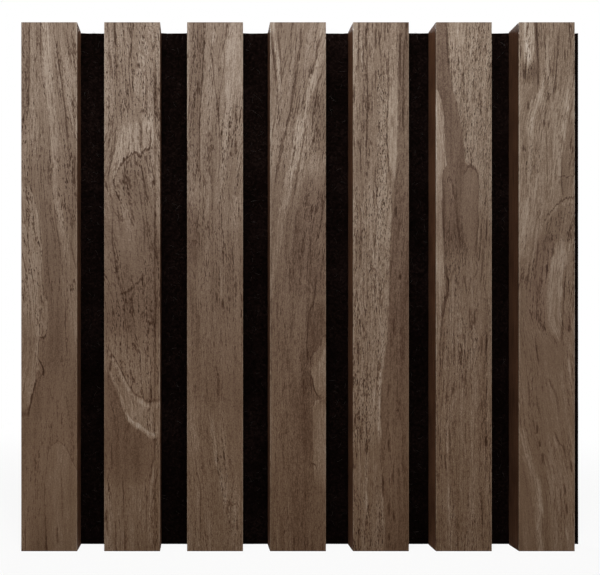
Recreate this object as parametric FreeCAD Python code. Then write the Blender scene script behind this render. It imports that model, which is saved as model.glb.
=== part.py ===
import FreeCAD, Part
import math
import os

# Acoustic slat wall panel: upright wooden slats on a board of black felt.
# Each slat is a strip of brown dyed fibreboard with a sheet of wood veneer glued
# to its front. The strips are glued to the felt and stapled through it from
# behind, and the felt runs on past the last slat, where the next panel meets it.
#
# Frame: X to the right, Z up along the slats, and the front of the panel
# towards -Y. The origin is the middle of the felt's back, which lies on the
# wall, so the wall is the plane Y = 0. Sizes are in millimetres.

# Slats
slatCount = 7
slatWidth = 27.0
slatGap = 13.0
slatLength = 255.0
coreThickness = 11.4
coreArris = 0.3        # the small round on the strip's two back edges
veneerThickness = 0.6
veneerArris = 0.35     # the sanded round on the veneer's two front edges

# Felt board
feltThickness = 9.0
feltLap = 8.0          # bare felt past the last slat
feltEdge = 0.8         # the soft round left along the felt's long edges

# Staples, driven from behind through the felt into the strips
stapleRows = 2
stapleEndMargin = 50.0   # from the end of a slat to the nearest row
stapleCrown = 12.0       # over the outside of the two legs
stapleLeg = 14.0         # from the back of the crown to the point
wireThickness = 0.7      # in the plane of the bend
wireWidth = 1.0          # along the slat
stapleBend = 0.4         # radius inside the two bends
staplePoint = 1.2        # length of the chisel point
crownSink = 0.5          # the crown is driven this far below the felt's back
stapleClearance = 0.05   # round the wire, in the felt and in the strip

# Working values of the modelling itself
cutPast = 1.0            # how far a cutter runs on past the face that it opens
samePoint = 1e-6         # two ends nearer than this are one point

# Worked out from the sizes above
slatPitch = slatWidth + slatGap
slatsWidth = slatCount * slatWidth + (slatCount - 1) * slatGap
feltWidth = slatsWidth + feltLap
feltLeft = -feltWidth / 2
feltRight = feltWidth / 2
wallY = 0.0
feltFrontY = wallY - feltThickness
coreFrontY = feltFrontY - coreThickness
veneerFrontY = coreFrontY - veneerThickness
crownY = wallY - crownSink
bottomZ = -slatLength / 2
along = FreeCAD.Vector(0, 0, slatLength)


def slatLeft(index):
    """The left side of a slat. The first one is flush with the felt's edge."""
    return feltLeft + index * slatPitch


def slatMiddle(index):
    """The middle of a slat's width, where its staples go in."""
    return slatLeft(index) + slatWidth / 2


def stapleHeights():
    """The height of each row of staples, spread evenly between the two end rows."""
    low = bottomZ + stapleEndMargin
    span = slatLength - 2 * stapleEndMargin
    if stapleRows == 1:
        return [low + span / 2]
    return [low + span * row / (stapleRows - 1) for row in range(stapleRows)]


def roundedFace(corners, z):
    """A flat face at height z. Each corner is (x, y, radius), and radius 0 is sharp."""
    points = [FreeCAD.Vector(x, y, z) for x, y, radius in corners]
    starts = []
    ends = []
    arcs = []
    for i, (x, y, radius) in enumerate(corners):
        corner = points[i]
        if radius <= 0:
            starts.append(corner)
            ends.append(corner)
            arcs.append(None)
            continue
        back = (points[i - 1] - corner).normalize()
        ahead = (points[(i + 1) % len(points)] - corner).normalize()
        half = back.getAngle(ahead) / 2
        tangent = radius / math.tan(half)
        bisector = (back + ahead).normalize()
        start = corner + back * tangent
        end = corner + ahead * tangent
        middle = corner + bisector * (radius / math.sin(half) - radius)
        starts.append(start)
        ends.append(end)
        arcs.append(Part.Arc(start, middle, end).toShape())
    edges = []
    for i in range(len(points)):
        if arcs[i] is not None:
            edges.append(arcs[i])
        following = starts[(i + 1) % len(points)]
        if ends[i].distanceToPoint(following) > samePoint:
            edges.append(Part.LineSegment(ends[i], following).toShape())
    return Part.Face(Part.Wire(edges))


def stapleProfile(middleX, grow, backY, outerBend):
    """The staple's U, seen along the slat: the crown at the back and two pointed legs.

    grow widens the legs all round, for the slots that they pass through, and
    backY is where the outside of the crown lies. The inside of the crown stays
    where it is in both, so the crown bears on the felt.
    """
    outer = stapleCrown / 2 + grow
    inner = stapleCrown / 2 - wireThickness - grow
    insideY = crownY - wireThickness
    tipY = crownY - stapleLeg - grow
    shoulderY = tipY + staplePoint
    point = (outer + inner) / 2
    corners = [
        (-outer, backY, outerBend),
        (-outer, shoulderY, 0),
        (-point, tipY, 0),
        (-inner, shoulderY, 0),
        (-inner, insideY, stapleBend),
        (inner, insideY, stapleBend),
        (inner, shoulderY, 0),
        (point, tipY, 0),
        (outer, shoulderY, 0),
        (outer, backY, outerBend),
    ]
    return [(middleX + x, y, radius) for x, y, radius in corners]


def staple(middleX, z):
    """One staple of flat wire, its crown across the slat."""
    profile = stapleProfile(middleX, 0, crownY, stapleBend + wireThickness)
    face = roundedFace(profile, z - wireWidth / 2)
    return face.extrude(FreeCAD.Vector(0, 0, wireWidth))


def stapleSlot(middleX, z):
    """What a driven staple opens: two leg slots, and the groove over its crown."""
    height = wireWidth + 2 * stapleClearance
    profile = stapleProfile(middleX, stapleClearance, wallY + cutPast, 0)
    face = roundedFace(profile, z - height / 2)
    return face.extrude(FreeCAD.Vector(0, 0, height))


def slotsOf(index):
    """Every staple slot on one slat, as one shape to cut away."""
    slots = [stapleSlot(slatMiddle(index), z) for z in stapleHeights()]
    return Part.makeCompound(slots)


def slatCore(index):
    """The fibreboard strip: sharp at the front, under the veneer, and eased behind."""
    left = slatLeft(index)
    right = left + slatWidth
    section = [
        (left, coreFrontY, 0),
        (right, coreFrontY, 0),
        (right, feltFrontY, coreArris),
        (left, feltFrontY, coreArris),
    ]
    strip = roundedFace(section, bottomZ).extrude(along)
    return strip.cut(slotsOf(index))


def slatVeneer(index):
    """The veneer sheet on the front, with its two long edges sanded round."""
    left = slatLeft(index)
    right = left + slatWidth
    section = [
        (left, coreFrontY, 0),
        (left, veneerFrontY, veneerArris),
        (right, veneerFrontY, veneerArris),
        (right, coreFrontY, 0),
    ]
    return roundedFace(section, bottomZ).extrude(along)


def feltBacking():
    """One board of pressed felt behind all the slats, let in for the staples."""
    section = [
        (feltLeft, wallY, feltEdge),
        (feltLeft, feltFrontY, feltEdge),
        (feltRight, feltFrontY, feltEdge),
        (feltRight, wallY, feltEdge),
    ]
    board = roundedFace(section, bottomZ).extrude(along)
    for index in range(slatCount):
        board = board.cut(slotsOf(index))
    return board


def staples():
    """All the staples, as one group of separate solids."""
    made = []
    for index in range(slatCount):
        for z in stapleHeights():
            made.append(staple(slatMiddle(index), z))
    return Part.makeCompound(made)


def save(name, shape):
    """One piece, as a STEP file under its own name."""
    shape.exportStep(os.path.join("parts", name + ".step"))


os.makedirs("parts", exist_ok=True)
for index in range(slatCount):
    save("slat_%d_core" % (index + 1), slatCore(index))
    save("slat_%d_veneer" % (index + 1), slatVeneer(index))
save("felt_backing", feltBacking())
save("staples", staples())
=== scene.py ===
import bpy
import bmesh
import math
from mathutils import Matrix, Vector


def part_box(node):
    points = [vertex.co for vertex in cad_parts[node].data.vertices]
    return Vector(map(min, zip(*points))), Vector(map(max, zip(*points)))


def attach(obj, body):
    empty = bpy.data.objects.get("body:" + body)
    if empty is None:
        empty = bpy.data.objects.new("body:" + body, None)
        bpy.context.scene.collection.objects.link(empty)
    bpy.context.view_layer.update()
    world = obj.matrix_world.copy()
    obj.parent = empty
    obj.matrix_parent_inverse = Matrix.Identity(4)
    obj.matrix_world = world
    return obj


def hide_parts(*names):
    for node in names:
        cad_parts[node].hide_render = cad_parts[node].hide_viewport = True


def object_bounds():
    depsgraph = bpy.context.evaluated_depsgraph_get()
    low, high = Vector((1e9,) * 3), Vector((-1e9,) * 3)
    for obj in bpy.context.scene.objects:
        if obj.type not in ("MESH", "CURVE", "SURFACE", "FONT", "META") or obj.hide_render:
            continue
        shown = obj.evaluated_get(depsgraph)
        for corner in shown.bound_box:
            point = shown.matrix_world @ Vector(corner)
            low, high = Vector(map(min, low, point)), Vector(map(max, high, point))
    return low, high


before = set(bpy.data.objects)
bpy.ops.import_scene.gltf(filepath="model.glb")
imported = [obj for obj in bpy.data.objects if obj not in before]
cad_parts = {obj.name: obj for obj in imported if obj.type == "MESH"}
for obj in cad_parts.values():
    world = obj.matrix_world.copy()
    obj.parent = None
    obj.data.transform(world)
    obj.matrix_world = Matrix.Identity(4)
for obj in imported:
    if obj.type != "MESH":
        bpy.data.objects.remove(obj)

# Acoustic slat panel: walnut veneer on brown fibreboard slats, stapled to a board of black felt.
# The front of the panel looks along -Y, Z is up along the slats, and the wall is the plane Y = 0.

mm = 0.001
perMetre = 1000     # millimetres
slatNumbers = range(1, 8)
cadLow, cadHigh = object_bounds()
feltLow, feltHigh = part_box("felt_backing")
slatBoxes = {number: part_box("slat_%d_veneer" % number) for number in slatNumbers}
firstLow, firstHigh = slatBoxes[1]
frontY = firstLow.y
slatTop = firstHigh.z
slatWidthMm = (firstHigh.x - firstLow.x) * perMetre
slatLengthMm = (firstHigh.z - firstLow.z) * perMetre


def linear(hexColour):
    # an sRGB hex value as the linear colour that the nodes want, by the formula of the sRGB standard
    colour = []
    for place in (1, 3, 5):
        part = int(hexColour[place:place + 2], 16) / 255
        colour.append(part / 12.92 if part <= 0.04045 else ((part + 0.055) / 1.055) ** 2.4)
    return (*colour, 1.0)


def addNode(tree, kind, inputs=None, **settings):
    # one node with its settings. Each input is a value, a socket to link, or a node whose first output
    # is linked.
    node = tree.nodes.new(kind)
    for name, value in settings.items():
        setattr(node, name, value)
    for name, value in (inputs or {}).items():
        if isinstance(value, bpy.types.Node):
            value = value.outputs[0]
        if isinstance(value, bpy.types.NodeSocket):
            tree.links.new(value, node.inputs[name])
        else:
            node.inputs[name].default_value = value
    return node


def newMaterial(name):
    material = bpy.data.materials.new(name)
    material.use_nodes = True
    material.node_tree.nodes.clear()
    return material, material.node_tree


def setStops(ramp, stops):
    # the stops of a colour ramp, each a place and an sRGB hex colour
    while len(ramp.elements) < len(stops):
        ramp.elements.new(0.5)
    for element, (place, colour) in zip(ramp.elements, stops):
        element.position = place
        element.color = linear(colour)


def drawCurve(curve, points):
    # lays a curve of a curves node through these points
    while len(curve.points) < len(points):
        curve.points.new(0.5, 0.5)
    for point, place in zip(curve.points, points):
        point.location = place
        point.handle_type = "AUTO_CLAMPED"


camera = {
    "photoWidth": 600,
    "photoHeight": 575,
    "principalX": 198,      # the pixel that the camera looks straight at, from the photo's left
    "principalY": 343,      # and from its top
    "pixelsPerMm": 2.0745,  # on the fronts of the slats
    "slatLeftPixel": 21.1,  # the first slat's left edge
    "slatTopPixel": 22.2,
    "distanceMm": 363,      # from the fronts
    "sensorMm": 36,
}


def makeCamera():
    scale = camera["pixelsPerMm"]
    width = camera["photoWidth"]
    x = firstLow.x + (camera["principalX"] - camera["slatLeftPixel"]) / scale * mm
    z = slatTop - (camera["principalY"] - camera["slatTopPixel"]) / scale * mm
    y = frontY - camera["distanceMm"] * mm
    data = bpy.data.cameras.new("camera")
    data.sensor_width = camera["sensorMm"]
    data.lens = scale * camera["distanceMm"] * camera["sensorMm"] / width
    data.shift_x = (width / 2 - camera["principalX"]) / width
    data.shift_y = (camera["principalY"] - camera["photoHeight"] / 2) / width
    made = bpy.data.objects.new("camera", data)
    made.location = (x, y, z)
    made.rotation_euler = (math.radians(90), 0, 0)
    bpy.context.scene.collection.objects.link(made)
    bpy.context.scene.camera = made


makeCamera()
print("camera placed")


lamps = {
    # each: size in metres, place, what it is aimed at, and power in watts
    "key": (0.40, (-0.06, -0.34, 0.46), (0.0, 0.0, 0.12), 1.55),
    "sheen": (0.16, (-0.05, -0.42, 0.31), (0.0, 0.0, 0.13), 2.05),   # the lacquer mirrors it near the top
    "back": (0.5, (-0.15, 1.05, 0.30), (0, 0, 0), 27.0),
    "left": (0.9, (-1.1, -0.25, 0.35), (0, 0, 0), 0.9),
    "right": (0.9, (1.1, -0.1, 0.35), (0, 0, 0), 1.8),
    "side": (0.5, (1.1, 0.2, 0.2), (0, 0, 0), 3.0),   # behind the wall's plane, for the right side only
}

studio = {
    "fill": 0.055,          # the soft light from all round
    "floorSize": 3.0,
    "floorSquares": 12,
    "floorColour": "#cdccca",
    "floorGrain": 16.67,    # mm
    "floorWhite": 0.89,     # how much of the floor's white doesn't take the shadow
    "shadowReach": 0.22,    # metres from the panel where the floor starts to go plain white
    "shadowEnd": 0.60,
}


def makeLamp(name, size, place, aim, power):
    data = bpy.data.lights.new(name, "AREA")
    data.shape = "SQUARE"
    data.size = size
    data.energy = power
    lamp = bpy.data.objects.new(name, data)
    lamp.location = place
    direction = Vector([end - start for start, end in zip(place, aim)])
    lamp.rotation_euler = direction.to_track_quat("-Z", "Y").to_euler()
    lamp.visible_camera = False
    bpy.context.scene.collection.objects.link(lamp)


def seenShare(tree):
    # 1 where the camera sees it straight, mirrored or through something, 0 for all other light
    path = addNode(tree, "ShaderNodeLightPath")
    seen = path.outputs["Is Camera Ray"]
    for ray in ("Is Glossy Ray", "Is Transmission Ray"):
        seen = addNode(tree, "ShaderNodeMath", {0: seen, 1: path.outputs[ray]}, operation="MAXIMUM")
    return seen


def whiteWorld():
    # soft grey light from all round, and plain white where it is seen
    world = bpy.data.worlds.new("studio")
    world.use_nodes = True
    tree = world.node_tree
    tree.nodes.clear()
    strength = addNode(tree, "ShaderNodeMapRange",
                       {"Value": seenShare(tree), "To Min": studio["fill"], "To Max": 1.0})
    light = addNode(tree, "ShaderNodeBackground", {"Color": linear("#ffffff"), "Strength": strength})
    addNode(tree, "ShaderNodeOutputWorld", {"Surface": light})
    bpy.context.scene.world = world


def paleFloor():
    bpy.ops.object.select_all(action="DESELECT")
    squares = studio["floorSquares"]
    bpy.ops.mesh.primitive_grid_add(x_subdivisions=squares, y_subdivisions=squares,
                                    size=studio["floorSize"], location=(0, 0, cadLow.z))
    floor = bpy.context.object
    floor.name = "floor"
    bpy.ops.object.transform_apply(location=True, rotation=True, scale=True)
    material, tree = newMaterial("matt painted floor")  # chalky white: no gloss, only soft shade
    where = addNode(tree, "ShaderNodeTexCoord").outputs["Object"]
    grain = addNode(tree, "ShaderNodeTexNoise",
                    {"Vector": where, "Scale": perMetre / studio["floorGrain"], "Detail": 4.0,
                     "Roughness": 0.6})
    lift = addNode(tree, "ShaderNodeBump", {"Height": grain, "Strength": 0.05, "Distance": 1.0 * mm})
    paint = addNode(tree, "ShaderNodeBsdfDiffuse",
                    {"Color": linear(studio["floorColour"]), "Roughness": 1.0, "Normal": lift})
    white = addNode(tree, "ShaderNodeEmission", {"Color": linear("#ffffff"), "Strength": 1.0})
    away = addNode(tree, "ShaderNodeVectorMath", {0: where}, operation="LENGTH")
    plain = addNode(tree, "ShaderNodeMapRange",
                    {"Value": away.outputs["Value"], "From Min": studio["shadowReach"],
                     "From Max": studio["shadowEnd"], "To Min": studio["floorWhite"], "To Max": 1.0},
                    interpolation_type="SMOOTHSTEP")
    share = addNode(tree, "ShaderNodeMath", {0: seenShare(tree), 1: plain}, operation="MULTIPLY")
    mixed = addNode(tree, "ShaderNodeMixShader", {0: share, 1: paint, 2: white})
    addNode(tree, "ShaderNodeOutputMaterial", {"Surface": mixed})
    floor.data.materials.append(material)


for name, lamp in lamps.items():
    makeLamp(name, *lamp)
whiteWorld()
paleFloor()
print("studio lit")


pastLeft = -3.0     # mm, so far outside the slat that a mark's edge there doesn't show
pastRight = slatWidthMm + 3.0


def patch(rows, fill=0.0, rim=0.0, pores=0.0, red=0.0, soft=(0.8, 0.8), turned=False):
    # a patch of the figure between two drawn edges. Each row is how far down the slat, left edge and
    # right edge in mm, or if turned how far across, upper edge and lower edge. fill is how much lighter
    # it is, rim the same for its outline, pores and red how much more of them it has, and soft how
    # wide its two edges are, in mm.
    return {"rows": rows, "fill": fill, "rim": rim, "pores": pores, "red": red, "soft": soft,
            "turned": turned}


def fromLeft(rows, **look):
    # a patch that runs in over the left side. Each row is how far down, and its right edge.
    return patch([(down, pastLeft, right) for down, right in rows], **look)


def fromRight(rows, **look):
    # one that runs in over the right side. Each row is how far down, and its left edge.
    return patch([(down, left, pastRight) for down, left in rows], **look)


def wholeWidth(downs, **look):
    # one that covers the slat from side to side
    return patch([(down, pastLeft, pastRight) for down in downs], **look)


def vein(points, fill, width=0.6, turned=False, pores=0.0, soft=0.5):
    # a line of the figure. Each point is across and down the slat in mm.
    half = width / 2
    if turned:
        rows = [(across, down - half, down + half) for across, down in points]
    else:
        rows = [(down, across - half, across + half) for across, down in points]
    return patch(rows, fill=fill, pores=pores, soft=(soft, soft), turned=turned)


veneer = {
    # each grain: width across the fibres and length along them in mm, detail, roughness
    "grains": {
        "ring": (3.2, 110.0, 3.0, 0.6),
        "cloud": (8.0, 42.0, 2.0, 0.5),
        "thread": (0.42, 8.0, 2.0, 0.6),
        "fibre": (0.38, 2.0, 1.0, 0.5),
        "fleck": (0.45, 0.6, 1.0, 0.5),
    },
    "grainShares": {"ring": 0.30, "cloud": 0.26, "thread": 0.34, "fibre": 0.24, "fleck": 0.36},
    "grainDepth": 0.1,       # how fast the grain changes into the sheet, to the mm
    # thin dark lines: mm from one to the next across and along, how thick, how dark
    "lines": ((2.3, 44.0, 0.028, 0.30), (1.3, 24.0, 0.024, 0.22)),
    "lineDetail": 2.0,
    "lineRoughness": 0.45,
    "lineLayer": 5.0,        # mm into the sheet from one kind of line to the other
    "lineShare": 0.75,       # how strong the lines are where the vessels are as many as usual
    "moreLines": 0.8,        # how much more vessels strengthen them
    "lineBreaks": 4,         # how much the fibres break a line, in its own thicknesses
    # open vessels: mm from one to the next across and along, how large at most, how deep, how many.
    # Walnut's are 0.15 mm wide, too fine to show, so these are drawn twice to three times as wide.
    "vessels": ((0.66, 3.6, 0.25, 0.62, 0.42), (0.50, 2.0, 0.28, 0.54, 0.38)),
    "moreVessels": 0.7,      # how much a drawn mark changes their number
    "cloudVessels": 1.4,     # how much a cloud does
    "smallestVessel": -0.05,   # less than nothing, so some stay closed
    "fullVessel": 1.1,       # the chance at which one is as large as it gets
    "vesselEdge": 0.035,     # how soft their edges are
    "cloudRed": 0.8,         # how much redder a cloud is
    "streakyMarks": 3.0,     # how much the threads show through a drawn mark
    "wander": 4.0,           # mm that the fibres wander
    "wanderWidth": 16.0,
    "wanderLength": 44.0,
    "raggedAcross": 1.3,     # mm that the drawn edges are frayed by
    "raggedAlong": 3.6,
    "raggedWidth": 0.9,
    "raggedLength": 4.0,
    "slowDepth": 0.05,       # how fast these two change into the sheet, to the mm
    "wanderStep": 7.3,       # how far apart two neighbouring sheets lie in each noise
    "raggedStep": 3.1,
    "fibreStep": 31.0,
    "edgeSpan": 60.0,        # mm, the widest that an edge or a lean can be drawn
    "turnedSpan": 1.2,       # the same for a turned mark, in lengths of the slat
    "strongest": 2.0,        # the strongest that a sheet's grain can be drawn
    "markMargin": 5.0,       # mm that a drawn mark may start outside the slat
    "nearEnd": 0.5,          # mm from the slat's end within which a mark runs out over it
    "pointed": 0.1,          # mm, a mark that ends narrower than this is pointed
    "lightDrawn": 0.40,      # how strongly the drawn marks show
    "darkDrawn": 0.62,
    "rimPeak": 4,            # a mask times its rest is a quarter at most
    "dark": "#2f1d10",
    "brown": "#4a3525",
    "middle": "#6a5644",
    "light": "#8b7a69",
    "pale": "#a89b8e",
    # the sheets are painted paler at their upper ends, as painted light from above, and greyer there, as
    # a painted
    # sheen: at the upper end and the lower one, and how far down the lower one's is reached, as a share
    # of the length
    "saturation": (0.85, 1.09, 1.0),
    "value": (1.035, 0.845, 0.62),
    "hue": (0.501, 0.496, 0.7),
    "redHue": 0.006,         # how far the redder places go
    "sanded": 0.1,           # how much paler the long edges are: sanding, and a painted highlight on the arris
    "sawnAndShaded": 0.14,            # how much darker the lower end is: painted shade along the sawn end
    "edgeFull": 0.1,         # mm from the edge within which both are full, and where they end
    "edgeOver": 0.7,
    "relief": 0.35,          # how much of the fibres there is in the surface
    "reliefStrength": 0.6,
    "reliefMm": 0.1,
    "smoothTone": 0.6,       # from this tone up the lacquer is as smooth as it gets
    "roughness": 0.46,
    "specular": 0.18,
}

# each sheet: how strong its grain is (mm down, share), how its fibres lean (mm down, lean in mm at
# the left edge and at the right one), and its marks, drawn one by one
figures = {}

figures[1] = {
    "grain": [(20, 0.92), (110, 0.8), (190, 0.84)],
    "flow": [(0, 0, 0), (30, 0.5, 3.5), (75, 1, 9), (110, 3, 9), (150, 7, 9.5), (180, 3, 9.5),
             (255, 4, 9)],
    "marks": [
        fromLeft([(0, 3.6), (33, 3.8), (45, 3), (75, 2)], fill=-0.08, red=0.5, pores=0.5),
        vein([(4, 0), (3.9, 16), (3.8, 33), (2.8, 47)], -0.4, 0.7),
        fromLeft([(52, 2.4), (70, 2.6), (84, 2)], fill=0.16, soft=(0.5, 0.5)),
        patch([(0, 9.6, 13.2), (12, 10.6, 14), (30, 11.6, 15.4), (45, 13.6, 17), (60, 14.6, 17.6),
               (78, 15.2, 18), (96, 15.6, 17.4)], fill=0.22, pores=-0.3, soft=(0.9, 0.9)),
        vein([(9.4, 0), (9.6, 21)], -0.3, 0.7),
        vein([(17, 10), (18.5, 22), (20, 32), (21.5, 45), (22.6, 58), (23.8, 68)], -0.36, 0.8),
        vein([(15.8, 14), (17.2, 26), (18.6, 40)], -0.24, 0.6),
        vein([(21.6, 3), (22.8, 12), (24.6, 22)], -0.34, 0.7),
        vein([(24.6, 30), (25.6, 46), (25.9, 60)], -0.3, 0.7),
        vein([(25.7, 64), (25.8, 78)], -0.42, 0.8),
        vein([(7.4, 22), (7.6, 29)], -0.34, 0.7),
        vein([(8.8, 41), (8.9, 61)], -0.28, 0.6),
        vein([(9.4, 67), (9.8, 82)], -0.28, 0.6),
        vein([(13, 65), (13.2, 78)], -0.28, 0.6),
        fromLeft([(75, 3.4), (82, 5.6), (90, 7.6), (96, 8.8), (103, 9.2), (107, 10.4), (115, 10.2),
                  (122, 9.8), (130, 11), (136, 12.9), (143, 13), (148, 12.5), (151, 11.6), (152.4, 8.8),
                  (160, 8.2), (165, 8.6), (170, 7.6), (176, 6.3), (182, 5), (190, 3.6)], fill=0.26,
                 rim=-0.22, pores=0.3, soft=(1.0, 0.5)),
        vein([(8.4, 151.4), (10.4, 152.2), (12, 150.8), (12.6, 147.6)], -0.5, 0.8, True),
        patch([(84, 9, 14), (92, 9.6, 15.4), (100, 10, 17), (112, 11, 19), (125, 11, 19.6),
               (140, 13.8, 20.6), (172, 10, 20)], fill=-0.14, pores=-0.3, soft=(0.6, 0.8)),
        vein([(15.6, 86), (17, 98), (18.2, 105), (19.6, 117)], -0.32, 0.7),
        vein([(20.5, 126), (21.4, 140), (21.4, 158)], -0.26, 0.7),
        patch([(84, 16.4, 19), (92, 17.6, 20), (102, 19.4, 22)], fill=0.16, soft=(0.8, 0.8)),
        patch([(101, 20.4, 23), (108, 20.6, 23.2), (117, 21, 23.4)], fill=0.18, soft=(0.8, 0.8)),
        vein([(23.4, 104), (25, 112), (26.6, 119)], -0.32, 0.7),
        vein([(26, 143), (26.2, 157)], 0.24, 1.0),
        vein([(8.2, 162), (9.8, 165), (10.7, 168), (10.2, 170.4), (8.4, 171.2)], -0.55, 0.7),
        vein([(7.6, 172), (6.4, 176), (5.2, 181), (3.4, 190)], -0.45, 0.8),
        patch([(168, 7, 14), (180, 6, 14), (192, 5, 13)], fill=-0.12, pores=-0.4, soft=(1, 1)),
        patch([(201.8, 17, 17.6), (203, 15.6, 19.6), (205, 14.2, 21.6), (208, 13.2, 23.2),
               (212, 12.6, 24.8), (217, 12, 27.4), (230, 11.4, 29), (255, 12.6, 29)], fill=0.12,
              rim=-0.3, pores=-0.5, soft=(0.6, 0.6)),
        wholeWidth([60, 78, 96], fill=-0.1, soft=(1, 1)),
        wholeWidth([130, 170, 210, 255], fill=-0.09, pores=-0.5, soft=(1, 1)),
        vein([(19, 212), (19.6, 226), (20, 240)], -0.22, 0.7),
        vein([(17.4, 242), (17.6, 252)], -0.34, 0.7),
        vein([(12, 246), (12, 255)], -0.3, 0.7),
        vein([(2, 239), (2, 255)], -0.28, 0.7),
    ],
}

figures[2] = {
    "grain": [(20, 1.02), (110, 0.86), (190, 0.9)],
    "flow": [(0, 0, 0), (25, 0.5, 3), (45, 1, 4), (60, -1, 6), (75, -3, 8), (90, -2, 10), (110, 0, 11.5),
             (130, 3, 12), (170, 6, 12), (200, 8, 13), (255, 9, 13)],
    "marks": [
        wholeWidth([0, 38, 48], fill=-0.02, pores=0.4),
        wholeWidth([92, 118, 136, 152], fill=-0.15, soft=(1, 1)),
        vein([(5, 0), (5.4, 8), (6, 13)], -0.4, 1.0),
        vein([(2.5, 13), (3.2, 20), (3.5, 28)], -0.3, 1.4),
        vein([(6.3, 14), (6, 24), (6.4, 32)], -0.3),
        vein([(14, 2), (13, 12), (12, 20), (12.4, 30), (14, 40)], -0.3, 0.7),
        vein([(22, 9), (24, 13), (24.5, 20), (23, 17)], -0.25, 1.0),
        patch([(7, 16, 20), (16, 15, 21), (26, 14.5, 21), (36, 14, 18)], fill=0.16, soft=(1.5, 1.5)),
        vein([(20, 20), (20.4, 30), (20, 44)], -0.32, 0.9),
        vein([(25, 27), (25.4, 38), (26, 48)], -0.3, 0.8),
        patch([(3.5, 69, 75), (6, 59, 72.5), (9, 50.5, 67.5), (12, 49, 64.5), (15, 48, 62.5),
               (18, 46.5, 63), (21, 45, 60.5), (23.5, 47, 59), (26, 52, 57)], fill=0.28, pores=-0.2,
              soft=(7.0, 0.8), turned=True),
        vein([(17.6, 47), (18, 54), (17.4, 61)], -0.5, 0.8),
        vein([(22.5, 50), (22.2, 60)], -0.4, 0.7),
        vein([(9.6, 55), (9, 64)], -0.22),
        vein([(5, 74), (7, 71), (8.5, 67.8), (11, 65.3), (13, 63.8), (15.3, 62.7), (17, 65), (18.5, 62.8),
              (21, 61.2), (23, 60.5)], -0.5, 1.5, True, soft=0.7),
        vein([(5.5, 50), (5, 60), (3, 69), (1.5, 76)], -0.3),
        vein([(21.5, 63), (23, 70), (25, 79)], -0.35, 0.7),
        vein([(17, 66), (19, 75), (21, 86)], -0.28),
        vein([(14.5, 68), (15, 84)], -0.2),
        vein([(10, 70), (9.6, 84)], -0.28),
        vein([(6, 76), (6.6, 88), (8, 104)], -0.2),
        patch([(66, 6, 20), (80, 5, 21), (98, 5, 20)], fill=-0.1, soft=(1.5, 1.5)),
        patch([(86, 9, 19), (104, 8, 20), (128, 9, 16)], pores=-0.5, soft=(2, 2)),
        patch([(84, 2, 8), (96, 2, 8), (110, 2, 8)], pores=-0.8, soft=(1, 1)),
        vein([(4.2, 86), (4, 104), (5.2, 114), (6.4, 122), (8.6, 131)], -0.3, 0.7),
        vein([(7, 131.5), (9.5, 130.4), (12, 129.2), (14, 127.6), (16, 125.8), (18, 124), (20.5, 121)],
             -0.3, 1.2, True, soft=0.8),
        vein([(18.6, 92), (19.4, 102), (19, 113)], -0.26, 0.7),
        patch([(130, 3, 22), (138, 1, 25), (150, 3, 24), (160, 8, 22)], fill=-0.06, pores=0.1,
              soft=(1.5, 1.5)),
        patch([(153, 3, 11), (160, 3, 20), (168, 5, 24), (176, 12, 20)], fill=0.06, soft=(2, 2)),
        patch([(170, 3.5, 9), (176, 6.5, 12), (182, 8.6, 17), (187, 10.5, 24), (192, 13, 25),
               (197, 18, 26), (200, 23, 24)], fill=0.14, soft=(0.6, 1.0)),
        vein([(2.5, 168), (5, 173.5), (7, 178), (8.4, 182), (10, 187), (12.3, 191), (13.5, 193.2)], 0.34,
             1.4),
        vein([(10, 189), (12, 191.6), (14, 193.6), (17, 195.2), (20, 197.4), (23, 199.4), (26, 198)],
             0.5, 3.0, True),
        vein([(2, 159), (4.4, 163), (6.8, 167.4), (9.2, 172), (11.6, 176.8), (14.6, 181), (18.2, 183.2),
              (21.8, 185), (26.6, 184.4)], 0.24, 2.4, True, soft=1.0),
        vein([(2, 156.6), (4.4, 160.8), (6.8, 165), (9.2, 169.6), (11.6, 174.4), (14.6, 178.6),
              (18.2, 181), (21.8, 182.8), (26.6, 182)], -0.26, 1.0, True),
        fromLeft([(168, 1.8), (174, 4.4), (179, 6.8), (184, 8.2), (189, 10.2), (193, 12.4), (196, 17.2),
                  (199, 21.5), (202, 25), (210, 24), (224, 18)], fill=-0.2, pores=-0.5, soft=(0.5, 0.7)),
        vein([(22, 174), (22.6, 180), (22.2, 187)], -0.4, 1.0),
        vein([(23.6, 210), (23, 215), (22, 221)], -0.5, 0.8),
        vein([(24.6, 211), (24, 216), (23.2, 222)], 0.3, 0.8),
        vein([(3.6, 202), (3.8, 216)], -0.28, 0.6),
        patch([(200, 2, 24), (220, 3, 24), (255, 3, 24)], pores=-0.5, soft=(2, 2)),
        vein([(8.8, 218), (9.4, 232), (9, 240)], -0.35, 0.6),
        vein([(21.6, 222), (22, 236), (21.6, 248)], 0.3, 0.9),
        vein([(20.2, 224), (20.6, 246)], -0.26, 0.6),
        vein([(17, 225), (17.3, 241)], 0.24, 0.7),
        patch([(222, 0, 2.4), (236, 0, 3.6), (255, 0, 4.4)], fill=0.18, soft=(0.5, 1.0)),
        vein([(1.2, 234), (1.5, 246)], -0.45, 0.9),
        vein([(5.6, 240), (5.8, 255)], -0.26, 0.6),
        vein([(10, 243), (10, 255)], -0.26, 0.7),
    ],
}

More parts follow.
